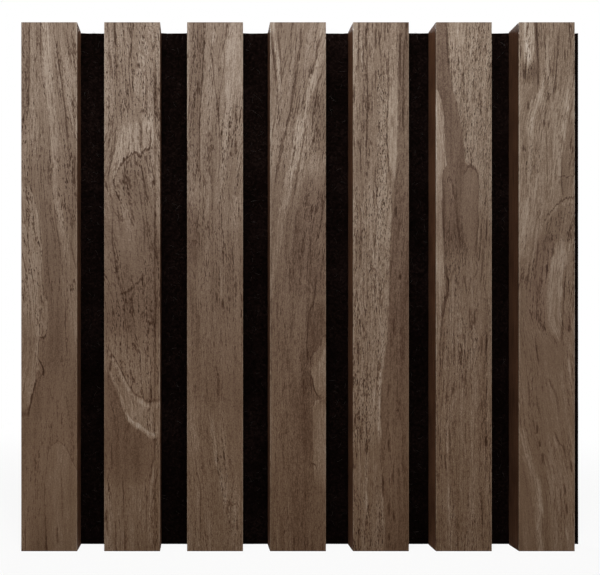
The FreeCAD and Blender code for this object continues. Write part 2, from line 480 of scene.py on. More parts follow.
figures[3] = {
    "grain": [(20, 0.86), (110, 1.02), (190, 1.24)],
    "flow": [(0, 0, 0), (30, -1.5, -1.5), (60, -2.5, -4), (85, -2, -7), (120, -1, -7), (170, 0, -6),
             (190, 1, -5), (230, 6, -2), (255, 7, -2)],
    "marks": [
        wholeWidth([84, 120, 165, 190], fill=-0.12, soft=(1, 1)),
        wholeWidth([130, 180, 255], pores=-0.4, soft=(1, 1)),
        patch([(0, 1, 9.2), (17, 1, 8), (33, 1, 7), (50, 1, 6), (82, 0, 6.4)], fill=-0.16, pores=0.4,
              soft=(1, 0.5)),
        vein([(9, 4), (8, 17), (7, 33), (6, 50), (6.5, 82)], -0.43),
        patch([(7, 20, 26), (14, 18, 27.5), (28, 18, 27), (40, 20, 26)], fill=0.1, pores=-0.8,
              soft=(1.8, 1.2)),
        vein([(10, 7), (12, 17), (13, 27), (14, 35), (15.5, 48)], -0.31, 0.5),
        vein([(19, 0), (18.5, 8), (17.5, 12), (18, 17), (16, 33), (15, 45)], -0.31, 0.5),
        fromRight([(33, 18), (60, 16), (87, 16)], pores=0.4),
        vein([(9, 48), (9, 86)], -0.19, 0.35),
        vein([(10.2, 50), (10.2, 80)], -0.19, 0.35),
        vein([(12, 48), (12, 86)], -0.19, 0.35),
        vein([(14, 52), (14, 84)], -0.19, 0.35),
        vein([(15.5, 49), (15.5, 86)], -0.19, 0.35),
        fromLeft([(83, 3), (100, 5), (120, 5)], fill=-0.1, red=0.3, soft=(0.5, 1.5)),
        vein([(0, 94), (4, 90), (8, 95)], -0.23, 0.6, True),
        vein([(0, 101), (4, 97), (9, 102)], -0.23, 0.6, True),
        vein([(0, 109), (4, 105.5), (8, 110)], -0.23, 0.6, True),
        patch([(83, 18, 26), (92, 18, 26), (102, 18, 26)], fill=0.19, soft=(2, 2)),
        vein([(5.4, 114), (5.2, 142)], 0.26, 1.3, soft=0.7),
        vein([(16.4, 113), (16.5, 136)], 0.2, 1.0),
        vein([(17.2, 133), (17.2, 138)], -0.42, 0.9),
        vein([(14.5, 131), (14.5, 135)], -0.42, 0.8),
        vein([(23.5, 43), (23.4, 48)], -0.5, 1.0),
        vein([(23.6, 57), (23.4, 63)], -0.5, 1.0),
        vein([(21.4, 62), (21.5, 65)], -0.4, 1.0),
        vein([(13, 136), (13.2, 147)], 0.2, 1.2),
        vein([(8, 138), (8, 172)], 0.12, 2.0, pores=0.3, soft=0.8),
        vein([(11.7, 187), (12.5, 199), (13.5, 206), (14.5, 212), (16, 218), (17.5, 226), (18.7, 234)],
             0.36, 1.9, pores=1.2, soft=0.7),
        patch([(196, 14, 20), (214, 15, 22), (232, 17, 24)], pores=0.8, soft=(1, 1)),
        vein([(15.6, 198), (16.4, 214)], 0.18, 1.2, soft=0.7),
        vein([(3.4, 206), (5, 218), (6.3, 224), (6.5, 235), (6.3, 253)], -0.28, 0.7),
        vein([(17, 236), (18.4, 232), (20, 231), (22, 233), (24, 232), (25.8, 236)], -0.3, 0.8, True),
        patch([(230, 20, 22.5), (238, 19.5, 24), (248, 19.5, 24)], fill=0.14, pores=1.2, soft=(0.7, 0.7)),
        vein([(19.5, 232), (19.5, 237)], -0.4, 0.8),
        vein([(24, 240), (24, 245)], -0.4, 0.8),
        patch([(166, 18, 27), (190, 19, 27), (228, 20, 27)], fill=-0.1, pores=-0.8, soft=(1.2, 1.2)),
        vein([(15, 168), (15.2, 182)], -0.28, 0.9, pores=0.6),
    ],
}

figures[4] = {
    "grain": [(20, 0.8), (110, 1.2), (190, 1.24)],
    "flow": [(0, 0, 0), (33, -2, -8), (55, -5, -13), (80, -9, -17), (120, -12, -24), (150, -14, -26),
             (255, -14, -27)],
    "marks": [
        wholeWidth([0, 26, 52], fill=-0.08, soft=(1, 1)),
        wholeWidth([70, 100, 150, 200, 255], fill=-0.15, pores=-0.4, soft=(1, 1)),
        vein([(1.6, 0), (3, 12), (4.2, 24), (4.8, 36)], 0.34, 1.4, soft=0.7),
        vein([(0.6, 4), (2, 18), (3.4, 34)], -0.36, 0.9),
        vein([(3.8, 4), (5, 18), (5.8, 32)], -0.32, 0.8),
        vein([(15, 3), (14.5, 12), (13, 22), (11.8, 32), (10.5, 40), (8, 50), (5.4, 62), (3, 75)], -0.36,
             1.1),
        vein([(12.6, 2), (12.4, 16), (11.4, 28), (9.6, 42)], -0.24, 0.7),
        patch([(0, 24, 27), (10, 23.8, 26.8), (18, 22.6, 25.8), (24, 20.8, 25), (28, 18.4, 23.4),
               (35, 16.8, 20.6), (42, 15.4, 18.6), (48, 13, 17.4), (54, 11.8, 15.6), (62, 10.6, 14.2),
               (70, 9, 12.8), (78, 6.4, 11.2), (86, 4.8, 9.6), (94, 3.6, 7.8), (102, 2.8, 6.2),
               (112, 1.4, 4.6), (122, 0.2, 3), (134, -1, 1.6)], fill=0.28, pores=0.1, soft=(0.8, 0.9)),
        patch([(44, 12, 16.4), (54, 11.8, 15.4), (66, 9.6, 13.2), (78, 6.2, 10.8), (92, 4, 8)],
              fill=0.07, soft=(0.8, 0.8)),
        patch([(45, 18.6, 21.4), (54, 17, 20.6), (62, 15.6, 19.2), (70, 14.2, 17.4), (80, 12.6, 15.8),
               (92, 10, 14)], fill=0.15, pores=0.1, soft=(0.6, 0.9)),
        vein([(17.6, 50), (16, 58), (14.6, 66), (13, 74), (11.6, 84)], -0.34, 0.9),
        vein([(25.5, 4), (23, 12), (21, 22), (18.4, 27)], -0.4, 0.9),
        vein([(25.8, 20), (24.4, 26), (22.4, 31)], -0.36, 0.8),
        patch([(31, 20, 26), (40, 20, 26), (52, 20, 27), (64, 18, 27)], fill=-0.1, pores=0.9,
              soft=(1.0, 1.0)),
        vein([(21, 43), (20.2, 53)], -0.36, 0.8),
        vein([(22.8, 35), (23.2, 41)], -0.4, 1.0),
        vein([(23, 50), (22.8, 56)], -0.36, 1.0),
        fromRight([(74, 17), (84, 15), (96, 12), (118, 10), (132, 10)], fill=-0.06, pores=0.4, red=0.3,
                  soft=(2, 1)),
        vein([(9, 111), (9.5, 131)], -0.31),
        vein([(12, 120), (15, 124), (18, 126), (21, 130)], 0.16, 2.4, True, soft=1.0),
        vein([(22, 120), (21.5, 133), (19, 140), (18, 152), (17.5, 167)], -0.36, 0.7),
        vein([(20.2, 170), (20.8, 175), (22, 178.6), (24.2, 181)], -0.36, 0.8),
        vein([(22.5, 131), (20.5, 146)], 0.23, 1.0),
        patch([(134, 19.5, 29), (146, 19, 29), (158, 19, 26), (168, 18.5, 20)], fill=-0.18,
              soft=(0.6, 0.6)),
        fromRight([(149, 27), (155, 24.6), (160, 21), (164, 19.6), (169, 19.8), (175, 21), (184, 24)],
                  fill=0.34, rim=-0.26, pores=-0.2, soft=(0.5, 0.5)),
        vein([(3.5, 134), (3.5, 143)], -0.39),
        vein([(2.5, 119), (2.5, 131)], -0.31),
        patch([(156, 15, 20.6), (168, 15, 19.8), (181, 16, 21)], fill=-0.12, pores=0.9, soft=(0.8, 0.8)),
        fromRight([(181.5, 25.5), (183.4, 22), (185.5, 20.8), (192, 20.6), (206, 20.6), (214, 20.8),
                   (228, 22)], fill=0.28, rim=-0.12, pores=-0.3, soft=(0.4, 0.5)),
        vein([(20.8, 186.5), (22, 184), (24, 182.4), (27, 181.2)], 0.34, 1.1, True),
        vein([(18.5, 216), (20.5, 213), (22, 214), (23.5, 218)], -0.39, 0.8, True),
        patch([(166, 11, 20), (190, 11.5, 20), (216, 12, 20)], fill=-0.16, soft=(1.5, 1.5)),
        vein([(8.5, 226), (9.5, 240), (10, 255)], 0.19, 0.8),
        vein([(2.5, 233), (4, 255)], 0.19, 0.8),
        patch([(214, 11, 19), (235, 11, 19), (255, 11, 19)], fill=-0.11, soft=(1.5, 1.5)),
    ],
}

figures[5] = {
    "grain": [(20, 1), (110, 1), (190, 0.88)],
    "flow": [(0, 0, 0), (60, 0.3, -0.3), (110, 0, -3.5), (180, 0, -6), (255, 0.5, -5)],
    "marks": [
        fromRight([(0, 21.8), (58, 21.6), (66, 21), (76, 20), (84, 19.4), (95, 18.7), (110, 17.8),
                   (130, 17.3), (150, 16.7), (158, 15.8), (164, 15), (172, 14.2), (182, 13.4),
                   (200, 13.4), (212, 14), (226, 14.6), (240, 15.2), (255, 15.4)], fill=-0.2, pores=-0.5,
                  soft=(0.5, 0.5)),
        fromRight([(76, 20.4), (95, 19), (130, 17.5), (175, 15)], fill=-0.08, red=0.2, soft=(0.6, 0.6)),
        fromLeft([(76, 19), (95, 18.5), (110, 17.6), (150, 16.5), (158, 15.6), (172, 14), (186, 13.2),
                  (206, 13)], fill=0.2, pores=0.6, soft=(0.5, 0.5)),
        vein([(2.8, 0), (2.7, 12), (2.6, 28)], -0.42, 0.9),
        vein([(6.3, 2), (6.1, 13)], -0.42, 0.8),
        vein([(6.7, 10), (6.9, 26), (7, 40), (6.6, 52), (6.8, 68)], -0.34, 0.8),
        vein([(4.2, 10), (4.3, 23)], 0.36, 0.7),
        vein([(4.95, 10), (4.75, 23)], -0.55, 0.6),
        vein([(10.9, 3), (10.9, 13)], -0.42, 0.9),
        vein([(11, 23), (10.8, 32)], -0.42, 0.7),
        vein([(13, 5), (12.8, 14)], -0.42, 0.7),
        vein([(13.4, 13), (13.6, 31)], -0.28, 0.5),
        vein([(15.4, 0), (15.5, 10)], -0.36, 0.7),
        vein([(16.2, 17), (16.9, 27), (17, 35), (16.4, 46), (16.2, 59)], -0.34, 0.7),
        vein([(16.4, 61), (17.2, 70), (18.4, 78)], -0.34, 0.7),
        vein([(22.6, 4), (22.7, 17), (22.6, 31)], -0.36, 0.9),
        vein([(24.8, 7), (24.4, 22), (24.2, 36), (24.2, 54)], -0.38, 0.9),
        vein([(25.7, 0), (25.8, 12)], -0.42, 0.8),
        vein([(0.6, 30), (0.5, 40)], -0.5, 0.8),
        vein([(4, 55), (3.6, 64), (3.9, 74)], -0.36, 0.8),
        vein([(9.2, 37), (9, 46)], -0.34, 0.6),
        vein([(7.4, 56), (7.8, 63)], -0.3, 0.6),
        patch([(22, 12, 15.4), (45, 11.8, 16.6), (70, 11.6, 16.6), (90, 11.6, 16), (108, 12, 15.6)],
              fill=0.1, pores=2.2, soft=(0.5, 0.5)),
        patch([(26, 17.2, 21.4), (44, 17.2, 21.4), (58, 16.8, 21.4), (66, 17.6, 20.8), (76, 18.8, 20)],
              fill=0.22, pores=-0.9, soft=(0.7, 0.5)),
        vein([(18.9, 45), (18.9, 50)], -0.42, 0.7),
        vein([(2.8, 85), (3.6, 95), (3.8, 106), (3.2, 120)], -0.3, 1.0, pores=0.4, soft=0.7),
        vein([(6.5, 127), (7.4, 121.5), (9.2, 118.6), (11, 119.6), (12.8, 125)], -0.4, 1.1, True,
             pores=0.4, soft=0.8),
        vein([(5.6, 141), (7, 131), (9.4, 127.6), (11.6, 131), (12.9, 140)], -0.22, 1.0, True, pores=0.4,
             soft=0.8),
        vein([(9.4, 104), (9.6, 118)], 0.26, 1.4, soft=0.7),
        vein([(9.8, 121), (9.6, 144)], 0.3, 1.5, soft=0.7),
        vein([(4.6, 125), (5.2, 137)], -0.26, 0.6),
        vein([(21, 89), (20.8, 94)], -0.5, 0.8),
        vein([(22.5, 121), (22.6, 124)], -0.5, 0.9),
        vein([(23, 147), (22.8, 151)], -0.45, 0.8),
        vein([(19.8, 141), (19.4, 153)], -0.26, 0.7),
        vein([(13.3, 166), (12.7, 178), (12.7, 190), (12.9, 202)], 0.36, 1.5, soft=0.7),
        vein([(10.4, 175), (10.2, 185)], 0.26, 1.0),
        patch([(166, 0, 8), (185, 0, 9), (206, 0, 8)], fill=0.06, pores=1.0),
        vein([(17.2, 174), (16.9, 181)], -0.38, 0.8),
        vein([(19.8, 201), (20.4, 191), (21.6, 187), (22.8, 191), (24, 201)], -0.36, 0.8, True, soft=0.6),
        patch([(190, 21.4, 22), (195, 21, 23.6), (208, 21.4, 24)], fill=0.2, soft=(0.5, 0.5)),
        vein([(22.6, 204), (23.4, 220), (24, 240)], 0.18, 0.9),
        vein([(6.6, 204), (6.4, 218), (5.9, 226), (6.5, 240)], 0.46, 1.9, pores=0.6, soft=0.8),
        vein([(3.3, 207), (3, 228)], 0.22, 0.9),
        vein([(17.2, 201), (17.2, 207)], -0.46, 0.8),
        vein([(19.4, 212), (19.2, 222)], -0.42, 0.8),
        vein([(14.4, 219), (14.5, 229)], -0.42, 0.9),
        vein([(14.2, 227), (14.6, 246)], 0.24, 0.9),
        vein([(17, 231.6), (17.5, 238)], -0.38, 0.9),
        vein([(19.5, 236), (19.8, 241)], -0.38, 0.9),
        vein([(17, 246), (17.2, 250)], -0.38, 0.9),
        patch([(228, 0, 14), (242, 0, 14.6), (255, 0, 15)], pores=0.8, soft=(0.6, 0.6)),
    ],
}

figures[6] = {
    "grain": [(20, 1.2), (110, 1), (190, 1.35)],
    "flow": [(0, 0, 0), (25, 1.5, -3.5), (50, 4, -7), (75, 5, -10), (120, 4, -12), (255, 3, -12)],
    "marks": [
        fromRight([(0, 5.4), (15, 6), (28, 7.4), (38, 9.6), (46, 11.4), (54, 12.8), (66, 13.8), (71, 20),
                   (85, 21), (100, 22.4)], fill=0.16, pores=0.75, soft=(0.5, 0.6)),
        patch([(0, 6.4, 14), (8, 6.8, 14), (12, 8, 13)], fill=0.12, pores=-1.4, soft=(0.8, 0.8)),
        fromLeft([(0, 5.2), (15, 5.9), (25, 6.9), (32, 8), (38, 9.5), (46, 11.3), (54, 12.7), (62, 13.5),
                  (67, 13.8), (69.5, 16), (71, 19.6), (78, 20.6), (116, 20)], fill=-0.26, red=0.4,
                 pores=-1.0, rim=-0.08, soft=(0.5, 0.7)),
        patch([(72, 3, 9), (80, 3, 10), (88, 3, 10)], pores=1.2, soft=(0.8, 0.8)),
        patch([(92, 4, 14), (106, 4, 15), (124, 4, 15)], pores=0.9, soft=(0.8, 0.8)),
        patch([(69, 11.5, 20), (80, 10.5, 20.6), (92, 11, 21.2), (120, 12, 19)], fill=0.17, red=-0.2,
              soft=(1.6, 0.8)),
        fromLeft([(33, 1.2), (45, 4), (64, 5), (90, 3)], fill=0.22, soft=(0.3, 0.7)),
        vein([(5, 1), (5.6, 14), (6.4, 25)], -0.3, 0.8),
        fromLeft([(30.5, -2.95), (33, 1.2), (37, 2.6), (42, 3.5), (48, 4.1), (55, 4.3), (62, 4.6),
                  (67, 5.0), (70, 4.6), (72.5, 3.4), (80, 2.9), (104, 3.6), (112, 4.1), (118, 4.0),
                  (122, 4.8), (126, 6.0), (129, 5.8), (133, 4.3), (139, 3.7), (143, 2.9), (156, 1.6),
                  (178, -2.95)], fill=0.22, rim=-0.22, pores=-0.1, soft=(0.3, 0.7)),
        fromLeft([(30.5, -2.95), (33, 1.2), (42, 3.5), (55, 4.3), (67, 5.0), (72.5, 3.4), (84, 2.9),
                  (108, 3.6), (134, 4.1)], fill=0.28, pores=-0.6, soft=(0.3, 0.5)),
        vein([(5.4, 73), (7, 79), (8.4, 86)], 0.2, 1.0, soft=0.7),
        vein([(7, 74), (8.2, 80), (9.4, 87)], -0.24, 0.8),
        vein([(9.8, 88), (10.6, 98), (11.6, 108)], -0.2, 0.7, pores=0.5),
        vein([(13, 73), (15, 70.6), (17.5, 70), (19.4, 71.6), (20.8, 77)], -0.3, 1.6, True),
        vein([(20.6, 92), (20, 102), (18.6, 112)], -0.3, 0.7),
        vein([(22.4, 90), (21.6, 104), (20.8, 116)], -0.36, 0.8),
        vein([(24.4, 94), (24.2, 106)], -0.4, 1.0),
        vein([(22.8, 108), (22.2, 118), (21, 128)], -0.3, 0.8),
        vein([(3.6, 80), (3.7, 96), (4.4, 112)], -0.24, 0.6),
        vein([(12.4, 98), (13, 110)], -0.2, 0.8, pores=0.5),
        vein([(4.5, 118), (6.2, 127)], -0.3, 1.0),
        vein([(9, 117), (7, 125)], -0.24, 0.9),
        vein([(11, 121), (9, 126)], -0.34, 0.7),
        vein([(13, 121), (15, 130)], -0.31, 0.7),
        vein([(17, 123), (15.5, 132)], -0.31, 0.7),
        vein([(4.4, 121), (5.4, 127), (5.2, 131), (4.2, 135), (3.7, 139), (2.8, 143)], -0.46, 1.6,
             soft=0.8),
        patch([(126, 6, 21), (150, 5, 20), (172, 3, 20)], fill=0.09, pores=0.3, soft=(1, 1.5)),
        vein([(16, 137), (16.5, 148)], -0.43, 0.9),
        vein([(18.3, 138), (18.6, 147)], -0.43, 0.9),
        vein([(11.5, 139), (11.5, 152)], 0.25, 1.4, soft=0.8),
        vein([(2.5, 143), (2, 160), (2.5, 171)], -0.24, 0.7),
        vein([(22, 150), (22, 160)], -0.34, 0.9),
        vein([(24.2, 128), (24.4, 170)], -0.22, 1.2, pores=0.6),
        patch([(86, 13, 21), (98, 13.5, 21), (112, 14, 21)], pores=-0.4, soft=(1, 1)),
        vein([(5.5, 190), (5.4, 217)], 0.43, 0.9),
        vein([(6, 220), (6, 242)], 0.39, 1.1),
        vein([(8.6, 173), (7.6, 181)], -0.46, 0.8),
        vein([(5, 178), (5, 184)], -0.39, 0.7),
        vein([(6.6, 194), (7, 217)], -0.31, 0.6),
        vein([(4.2, 208), (4.8, 216)], -0.46, 0.9),
        vein([(24, 170), (24.2, 222)], -0.22, 1.2, pores=0.8),
        vein([(24, 199), (24, 204)], -0.54, 1.3),
        vein([(22, 182), (22, 187)], -0.39, 0.8),
        vein([(22.3, 233), (22.5, 245)], -0.31, 0.7),
        vein([(10.3, 240), (10.5, 255)], -0.25, 0.7),
        patch([(172, 9, 19), (210, 9, 19), (240, 9, 19)], pores=-0.4, fill=0.03, soft=(2, 2)),
    ],
}

figures[7] = {
    "grain": [(20, 0.95), (110, 0.78), (190, 0.74)],
    "flow": [(0, 0, 0), (25, 0, -2.5), (50, -5, -6), (85, -8, -10), (110, -11, -13), (140, -13, -15),
             (156, -10, -11), (172, -8, -9), (200, -4, -5), (228, 3, -1), (255, 5, 0)],
    "marks": [
        wholeWidth([24, 50, 84, 104], fill=0.17, pores=-0.2, soft=(1, 1)),
        patch([(0, 2, 7.3), (6, 2, 7.4), (12, 2.2, 7.2), (19, 2.6, 6.4), (23, 3.2, 5.2), (27, 3.9, 4)],
              fill=0.5, pores=0.5, soft=(0.8, 0.7)),
        patch([(7, 3, 5.6), (14, 2.8, 5.8), (21, 3.2, 4.8)], fill=0.2, soft=(0.6, 0.6)),
        vein([(4.4, 0), (3.5, 7)], -0.6, 0.7),
        vein([(6.3, 10), (6.1, 17)], -0.35, 0.6),
        patch([(18, 1.5, 8), (24, 1.6, 8.2), (30, 2, 7)], fill=-0.26, pores=1.2, soft=(1, 1)),
        vein([(7.8, 0), (8.3, 6), (8.9, 13), (9.2, 22), (9.2, 35)], -0.38, 1.3, soft=0.9),
        patch([(5, 12.8, 14.6), (14, 12.8, 14.8), (24, 12.6, 14.6), (30, 11, 13), (35, 9, 11.8),
               (38, 6.5, 11), (42, 5, 9), (47, 4, 7), (56, 3, 5.5)], fill=0.26, soft=(0.8, 0.8)),
        vein([(12.4, 4), (12.3, 13)], -0.35, 0.6),
        vein([(10.6, 0), (10.8, 10)], -0.28, 0.5),
        vein([(19.5, 1), (18.9, 9), (18.4, 16), (17.6, 28), (16.4, 38)], -0.42, 0.9, soft=0.6),
        vein([(17.6, 8), (16.8, 20), (15.6, 31)], -0.26, 0.6),
        vein([(20.6, 22), (19.6, 36)], -0.24, 0.6),
        vein([(22.2, 13), (22.6, 21)], -0.38, 0.8),
        vein([(24, 0), (24.8, 8), (25.2, 17)], -0.34, 0.7),
        patch([(26, 12, 14.4), (31, 12, 14.4), (37, 12, 14)], fill=-0.16, pores=0.9, soft=(0.6, 0.6)),
        vein([(4.3, 38), (4.5, 42)], -0.7, 0.9),
        vein([(9.6, 41), (10.4, 46)], -0.3, 0.6),
        vein([(12.4, 47), (12, 51)], -0.5, 0.9),
        vein([(14.8, 47), (14, 52)], -0.5, 0.8),
        vein([(13, 51), (13.4, 60), (13.8, 75)], -0.42, 0.6),
        vein([(15.4, 56), (15.8, 62), (16.2, 71)], -0.28, 0.6),
        vein([(24.2, 31), (23, 41), (21.4, 50), (20.4, 58), (19.4, 66), (18.6, 75)], 0.28, 2.4, soft=1.0),
        vein([(26.6, 36), (24.8, 44), (23.8, 51)], -0.38, 0.7),
        patch([(46, 25, 29), (54, 23.2, 29), (60, 22.4, 29), (68, 21, 29), (76, 20.6, 26),
               (88, 21.2, 24)], fill=-0.18, soft=(0.7, 0.9)),
        vein([(21.8, 56), (20.8, 66), (20.4, 74), (21.4, 85)], -0.32, 0.7),
        vein([(25.6, 59), (26.2, 63)], -0.5, 0.9),
        vein([(17.5, 74), (22, 74.4), (27, 73.6)], -0.3, 0.6, True),
        patch([(58, 2, 10), (66, 2, 10.5), (74, 2, 10)], pores=1.0, soft=(1, 1)),
        vein([(9.6, 72), (8.6, 78), (7, 86)], 0.36, 1.2, soft=0.6),
        patch([(84, 0, 5), (92, 0.6, 5), (102, 0, 4.6), (114, -1, 4)], fill=0.18, soft=(1, 1.2)),
        patch([(94, 4, 10), (104, 4, 9), (116, 3, 8)], fill=0.08, pores=-0.6, soft=(1, 1)),
        vein([(10.8, 99), (13, 94.5), (15.6, 91), (18, 88.4), (20.5, 86.2), (23, 85), (27, 84.4)], -0.42,
             1.0, True, soft=0.6),
        patch([(11.5, 99, 107), (15, 94, 106), (19, 90, 105.5), (23, 88, 105), (28, 87, 104)],
              fill=-0.12, pores=0.6, soft=(0.8, 2.5), turned=True),
        patch([(102, 9.4, 17.6), (108, 8.8, 16.6), (114, 8.2, 15.8), (120, 7, 15), (128, 4.6, 13.4),
               (138, 4.4, 13.4), (148, 5, 15)], fill=-0.07, red=0.5, pores=0.0, soft=(1.2, 0.8)),
        vein([(9.2, 104), (8.8, 112), (7.6, 120)], -0.34, 0.7),
        vein([(16.8, 106), (15.8, 114)], -0.4, 0.9),
        vein([(13.4, 116.5), (13.4, 121)], -0.6, 1.1),
        patch([(102, 18.8, 21.6), (110, 17.2, 22.2), (116, 15.8, 21.6), (124, 15.2, 20.8),
               (134, 14.6, 20.6), (142, 14.6, 20.4), (148, 16.2, 20.3), (154, 19.4, 20)], fill=0.24,
              pores=-0.4, soft=(0.8, 0.6)),
        patch([(109, 19.6, 22.6), (118, 18.8, 21.6), (128, 18.8, 20.8), (146, 19, 20.4)], fill=0.16,
              soft=(0.8, 0.5)),
        vein([(26.8, 105), (24.6, 108), (23.2, 112), (22, 120)], 0.3, 1.1),
        vein([(22.8, 116), (21.7, 130), (21.2, 145), (20.6, 155)], -0.26, 0.6),
        patch([(140, 22.2, 25), (150, 22.2, 25)], red=0.5, fill=-0.12, soft=(0.8, 0.8)),
        vein([(24.2, 145.5), (24.3, 150)], -0.5, 0.9),
        vein([(8.5, 140), (11.5, 146), (15, 150.5), (20, 157)], -0.08, 3.6, pores=0.6, soft=1.2),
        patch([(150, 9, 20), (160, 9, 21), (170, 9, 21)], fill=-0.1, pores=-0.8, soft=(1.2, 1.2)),
        wholeWidth([206, 232, 255], fill=0.08, soft=(1, 1)),
        wholeWidth([140, 190, 255], pores=-0.45, soft=(1, 1)),
        vein([(24.4, 154), (24.6, 172)], 0.26, 1.2),
        vein([(7.6, 150), (8.8, 160), (9.8, 166)], -0.3, 0.7),
        patch([(168, 1.6, 9), (185, 1.6, 9.4), (201, 2, 9)], pores=0.2, fill=0.06),
        patch([(174, 12, 20), (186, 11, 20), (202, 12, 19)], pores=-1.0, soft=(1.5, 1.5)),
        vein([(14.2, 171), (16.2, 176), (18, 180), (19.4, 189)], -0.24, 1.2, pores=0.7, soft=0.7),
        vein([(8.8, 193.6), (8.9, 198.4)], -0.6, 0.9),
        vein([(10, 201.6), (10.1, 205)], -0.5, 0.9),
        vein([(11.5, 207.6), (11.8, 213.4)], -0.4, 1.5),
        vein([(17.2, 197), (19, 202), (21.4, 205), (22.6, 210)], -0.28, 0.9),
        vein([(16.4, 199), (18.2, 204), (20.6, 211)], 0.2, 1.2),
        vein([(24.8, 211), (25.8, 217)], -0.42, 1.0),
        vein([(1, 195), (3, 203), (5, 210), (7, 216), (8.6, 222), (10, 229), (10.4, 236), (9.8, 245),
              (10.6, 255)], 0.24, 2.8, soft=1.2),
        vein([(9.4, 219), (10.2, 227), (11, 237)], 0.22, 1.6, soft=0.8),
        fromLeft([(210, 2), (226, 5.6), (240, 7.6), (255, 9)], fill=-0.15, pores=-0.5, soft=(0.5, 1.2)),
        vein([(22, 222.6), (22.3, 228)], -0.48, 0.9),
        vein([(22.7, 231.4), (23.2, 237.4)], -0.48, 1.0),
        vein([(20, 225), (20.2, 231)], -0.34, 0.7),
        vein([(17.4, 221), (17.8, 234)], -0.26, 0.6),
        vein([(22.6, 242), (23.6, 250)], 0.3, 1.0),
    ],
}


def markFrame(turned):
    # how long a mark can be, the place that its drawn edges lie about, and how far they can lie
    # apart, all in mm: down the slat, or across it for a turned mark
    if turned:
        return slatWidthMm, slatLengthMm / 2, slatLengthMm * veneer["turnedSpan"]
    return slatLengthMm, 0.0, veneer["edgeSpan"]


def markMask(tree, mark, shares):
    # how much of the mark covers each point, 0 to 1, from two drawn edges and soft ends
    reach, middle, span = markFrame(mark["turned"])
    beside, along = shares[mark["turned"]]
    margin = veneer["markMargin"]
    rows = mark["rows"]
    places = [(row[0] + margin) / (reach + 2 * margin) for row in rows]
    amounts = [1] * len(rows)
    for index in (0, len(rows) - 1):       # its ends fade, unless pointed or at the slat's edge
        at, nearEdge, farEdge = rows[index]
        if 0 < at < reach - veneer["nearEnd"] and farEdge - nearEdge >= veneer["pointed"]:
            amounts[index] = 0
    if len(rows) == 2:                     # a plain stroke swells in its middle
        places.insert(1, sum(places) / 2)
        amounts.insert(1, 1)
        rows = [rows[0], tuple((first + last) / 2 for first, last in zip(*rows)), rows[1]]
    drawn = addNode(tree, "ShaderNodeRGBCurve", {"Color": along})
    curves = drawn.mapping
    curves.extend = "HORIZONTAL"
    for side in (0, 1):
        edge = [(row[1 + side] - middle) / span + 0.5 for row in rows]
        drawCurve(curves.curves[side], list(zip(places, edge)))
    drawCurve(curves.curves[2], list(zip(places, amounts)))
    curves.update()
    edges = addNode(tree, "ShaderNodeSeparateColor", {0: drawn})
    mask = edges.outputs[2]
    for side, soft in enumerate(mark["soft"]):
        inside = addNode(tree, "ShaderNodeMath", {side: beside, 1 - side: edges.outputs[side]},
                         operation="SUBTRACT")
        step = addNode(tree, "ShaderNodeMapRange",
                       {"Value": inside, "From Min": -soft / span / 2, "From Max": soft / span / 2},
                       interpolation_type="SMOOTHSTEP")
        mask = addNode(tree, "ShaderNodeMath", {0: mask, 1: step}, operation="MULTIPLY")
    return mask


def grainAlong(tree, figure, across, downShare):
    # how far the fibres lean, in mm, and how strong the grain is. The lean is drawn down the left edge
    # and down the right one, and it changes evenly from one to the other.
    span = veneer["edgeSpan"]
    strongest = veneer["strongest"]
    drawn = addNode(tree, "ShaderNodeRGBCurve", {"Color": downShare})
    curves = drawn.mapping
    curves.extend = "HORIZONTAL"
    for side in (0, 1):
        lean = [(row[0] / slatLengthMm, row[1 + side] / span + 0.5) for row in figure["flow"]]
        drawCurve(curves.curves[side], lean)
    shares = [(down / slatLengthMm, share / strongest) for down, share in figure["grain"]]
    drawCurve(curves.curves[2], shares)
    curves.update()
    parts = addNode(tree, "ShaderNodeSeparateColor", {0: drawn})
    lean = addNode(tree, "ShaderNodeMapRange",
                   {"Value": across, "From Max": slatWidthMm, "To Min": parts.outputs[0],
                    "To Max": parts.outputs[1]}, clamp=False)
    leanMm = addNode(tree, "ShaderNodeMath", {0: lean, 1: span, 2: -span / 2}, operation="MULTIPLY_ADD")
    strength = addNode(tree, "ShaderNodeMath", {0: parts.outputs[2], 1: strongest}, operation="MULTIPLY")
    return leanMm, strength


def slowNoise(tree, onSlat, width, length, start):
    # a slow noise over the sheet, for the wander of the fibres and the raggedness of the drawn edges
    sized = addNode(tree, "ShaderNodeMapping",
                    {"Vector": onSlat, "Location": start,
                     "Scale": (1 / width, veneer["slowDepth"], 1 / length)})
    return addNode(tree, "ShaderNodeTexNoise", {"Vector": sized, "Scale": 1.0, "Detail": 2.0})


def raggedPlace(tree, ragged, place, reach):
    # the place across or down the sheet, moved to and fro by as much as the drawn edges are frayed
    moved = addNode(tree, "ShaderNodeMath", {0: ragged, 1: reach, 2: place}, operation="MULTIPLY_ADD")
    return addNode(tree, "ShaderNodeMath", {0: moved, 1: reach / 2}, operation="SUBTRACT")


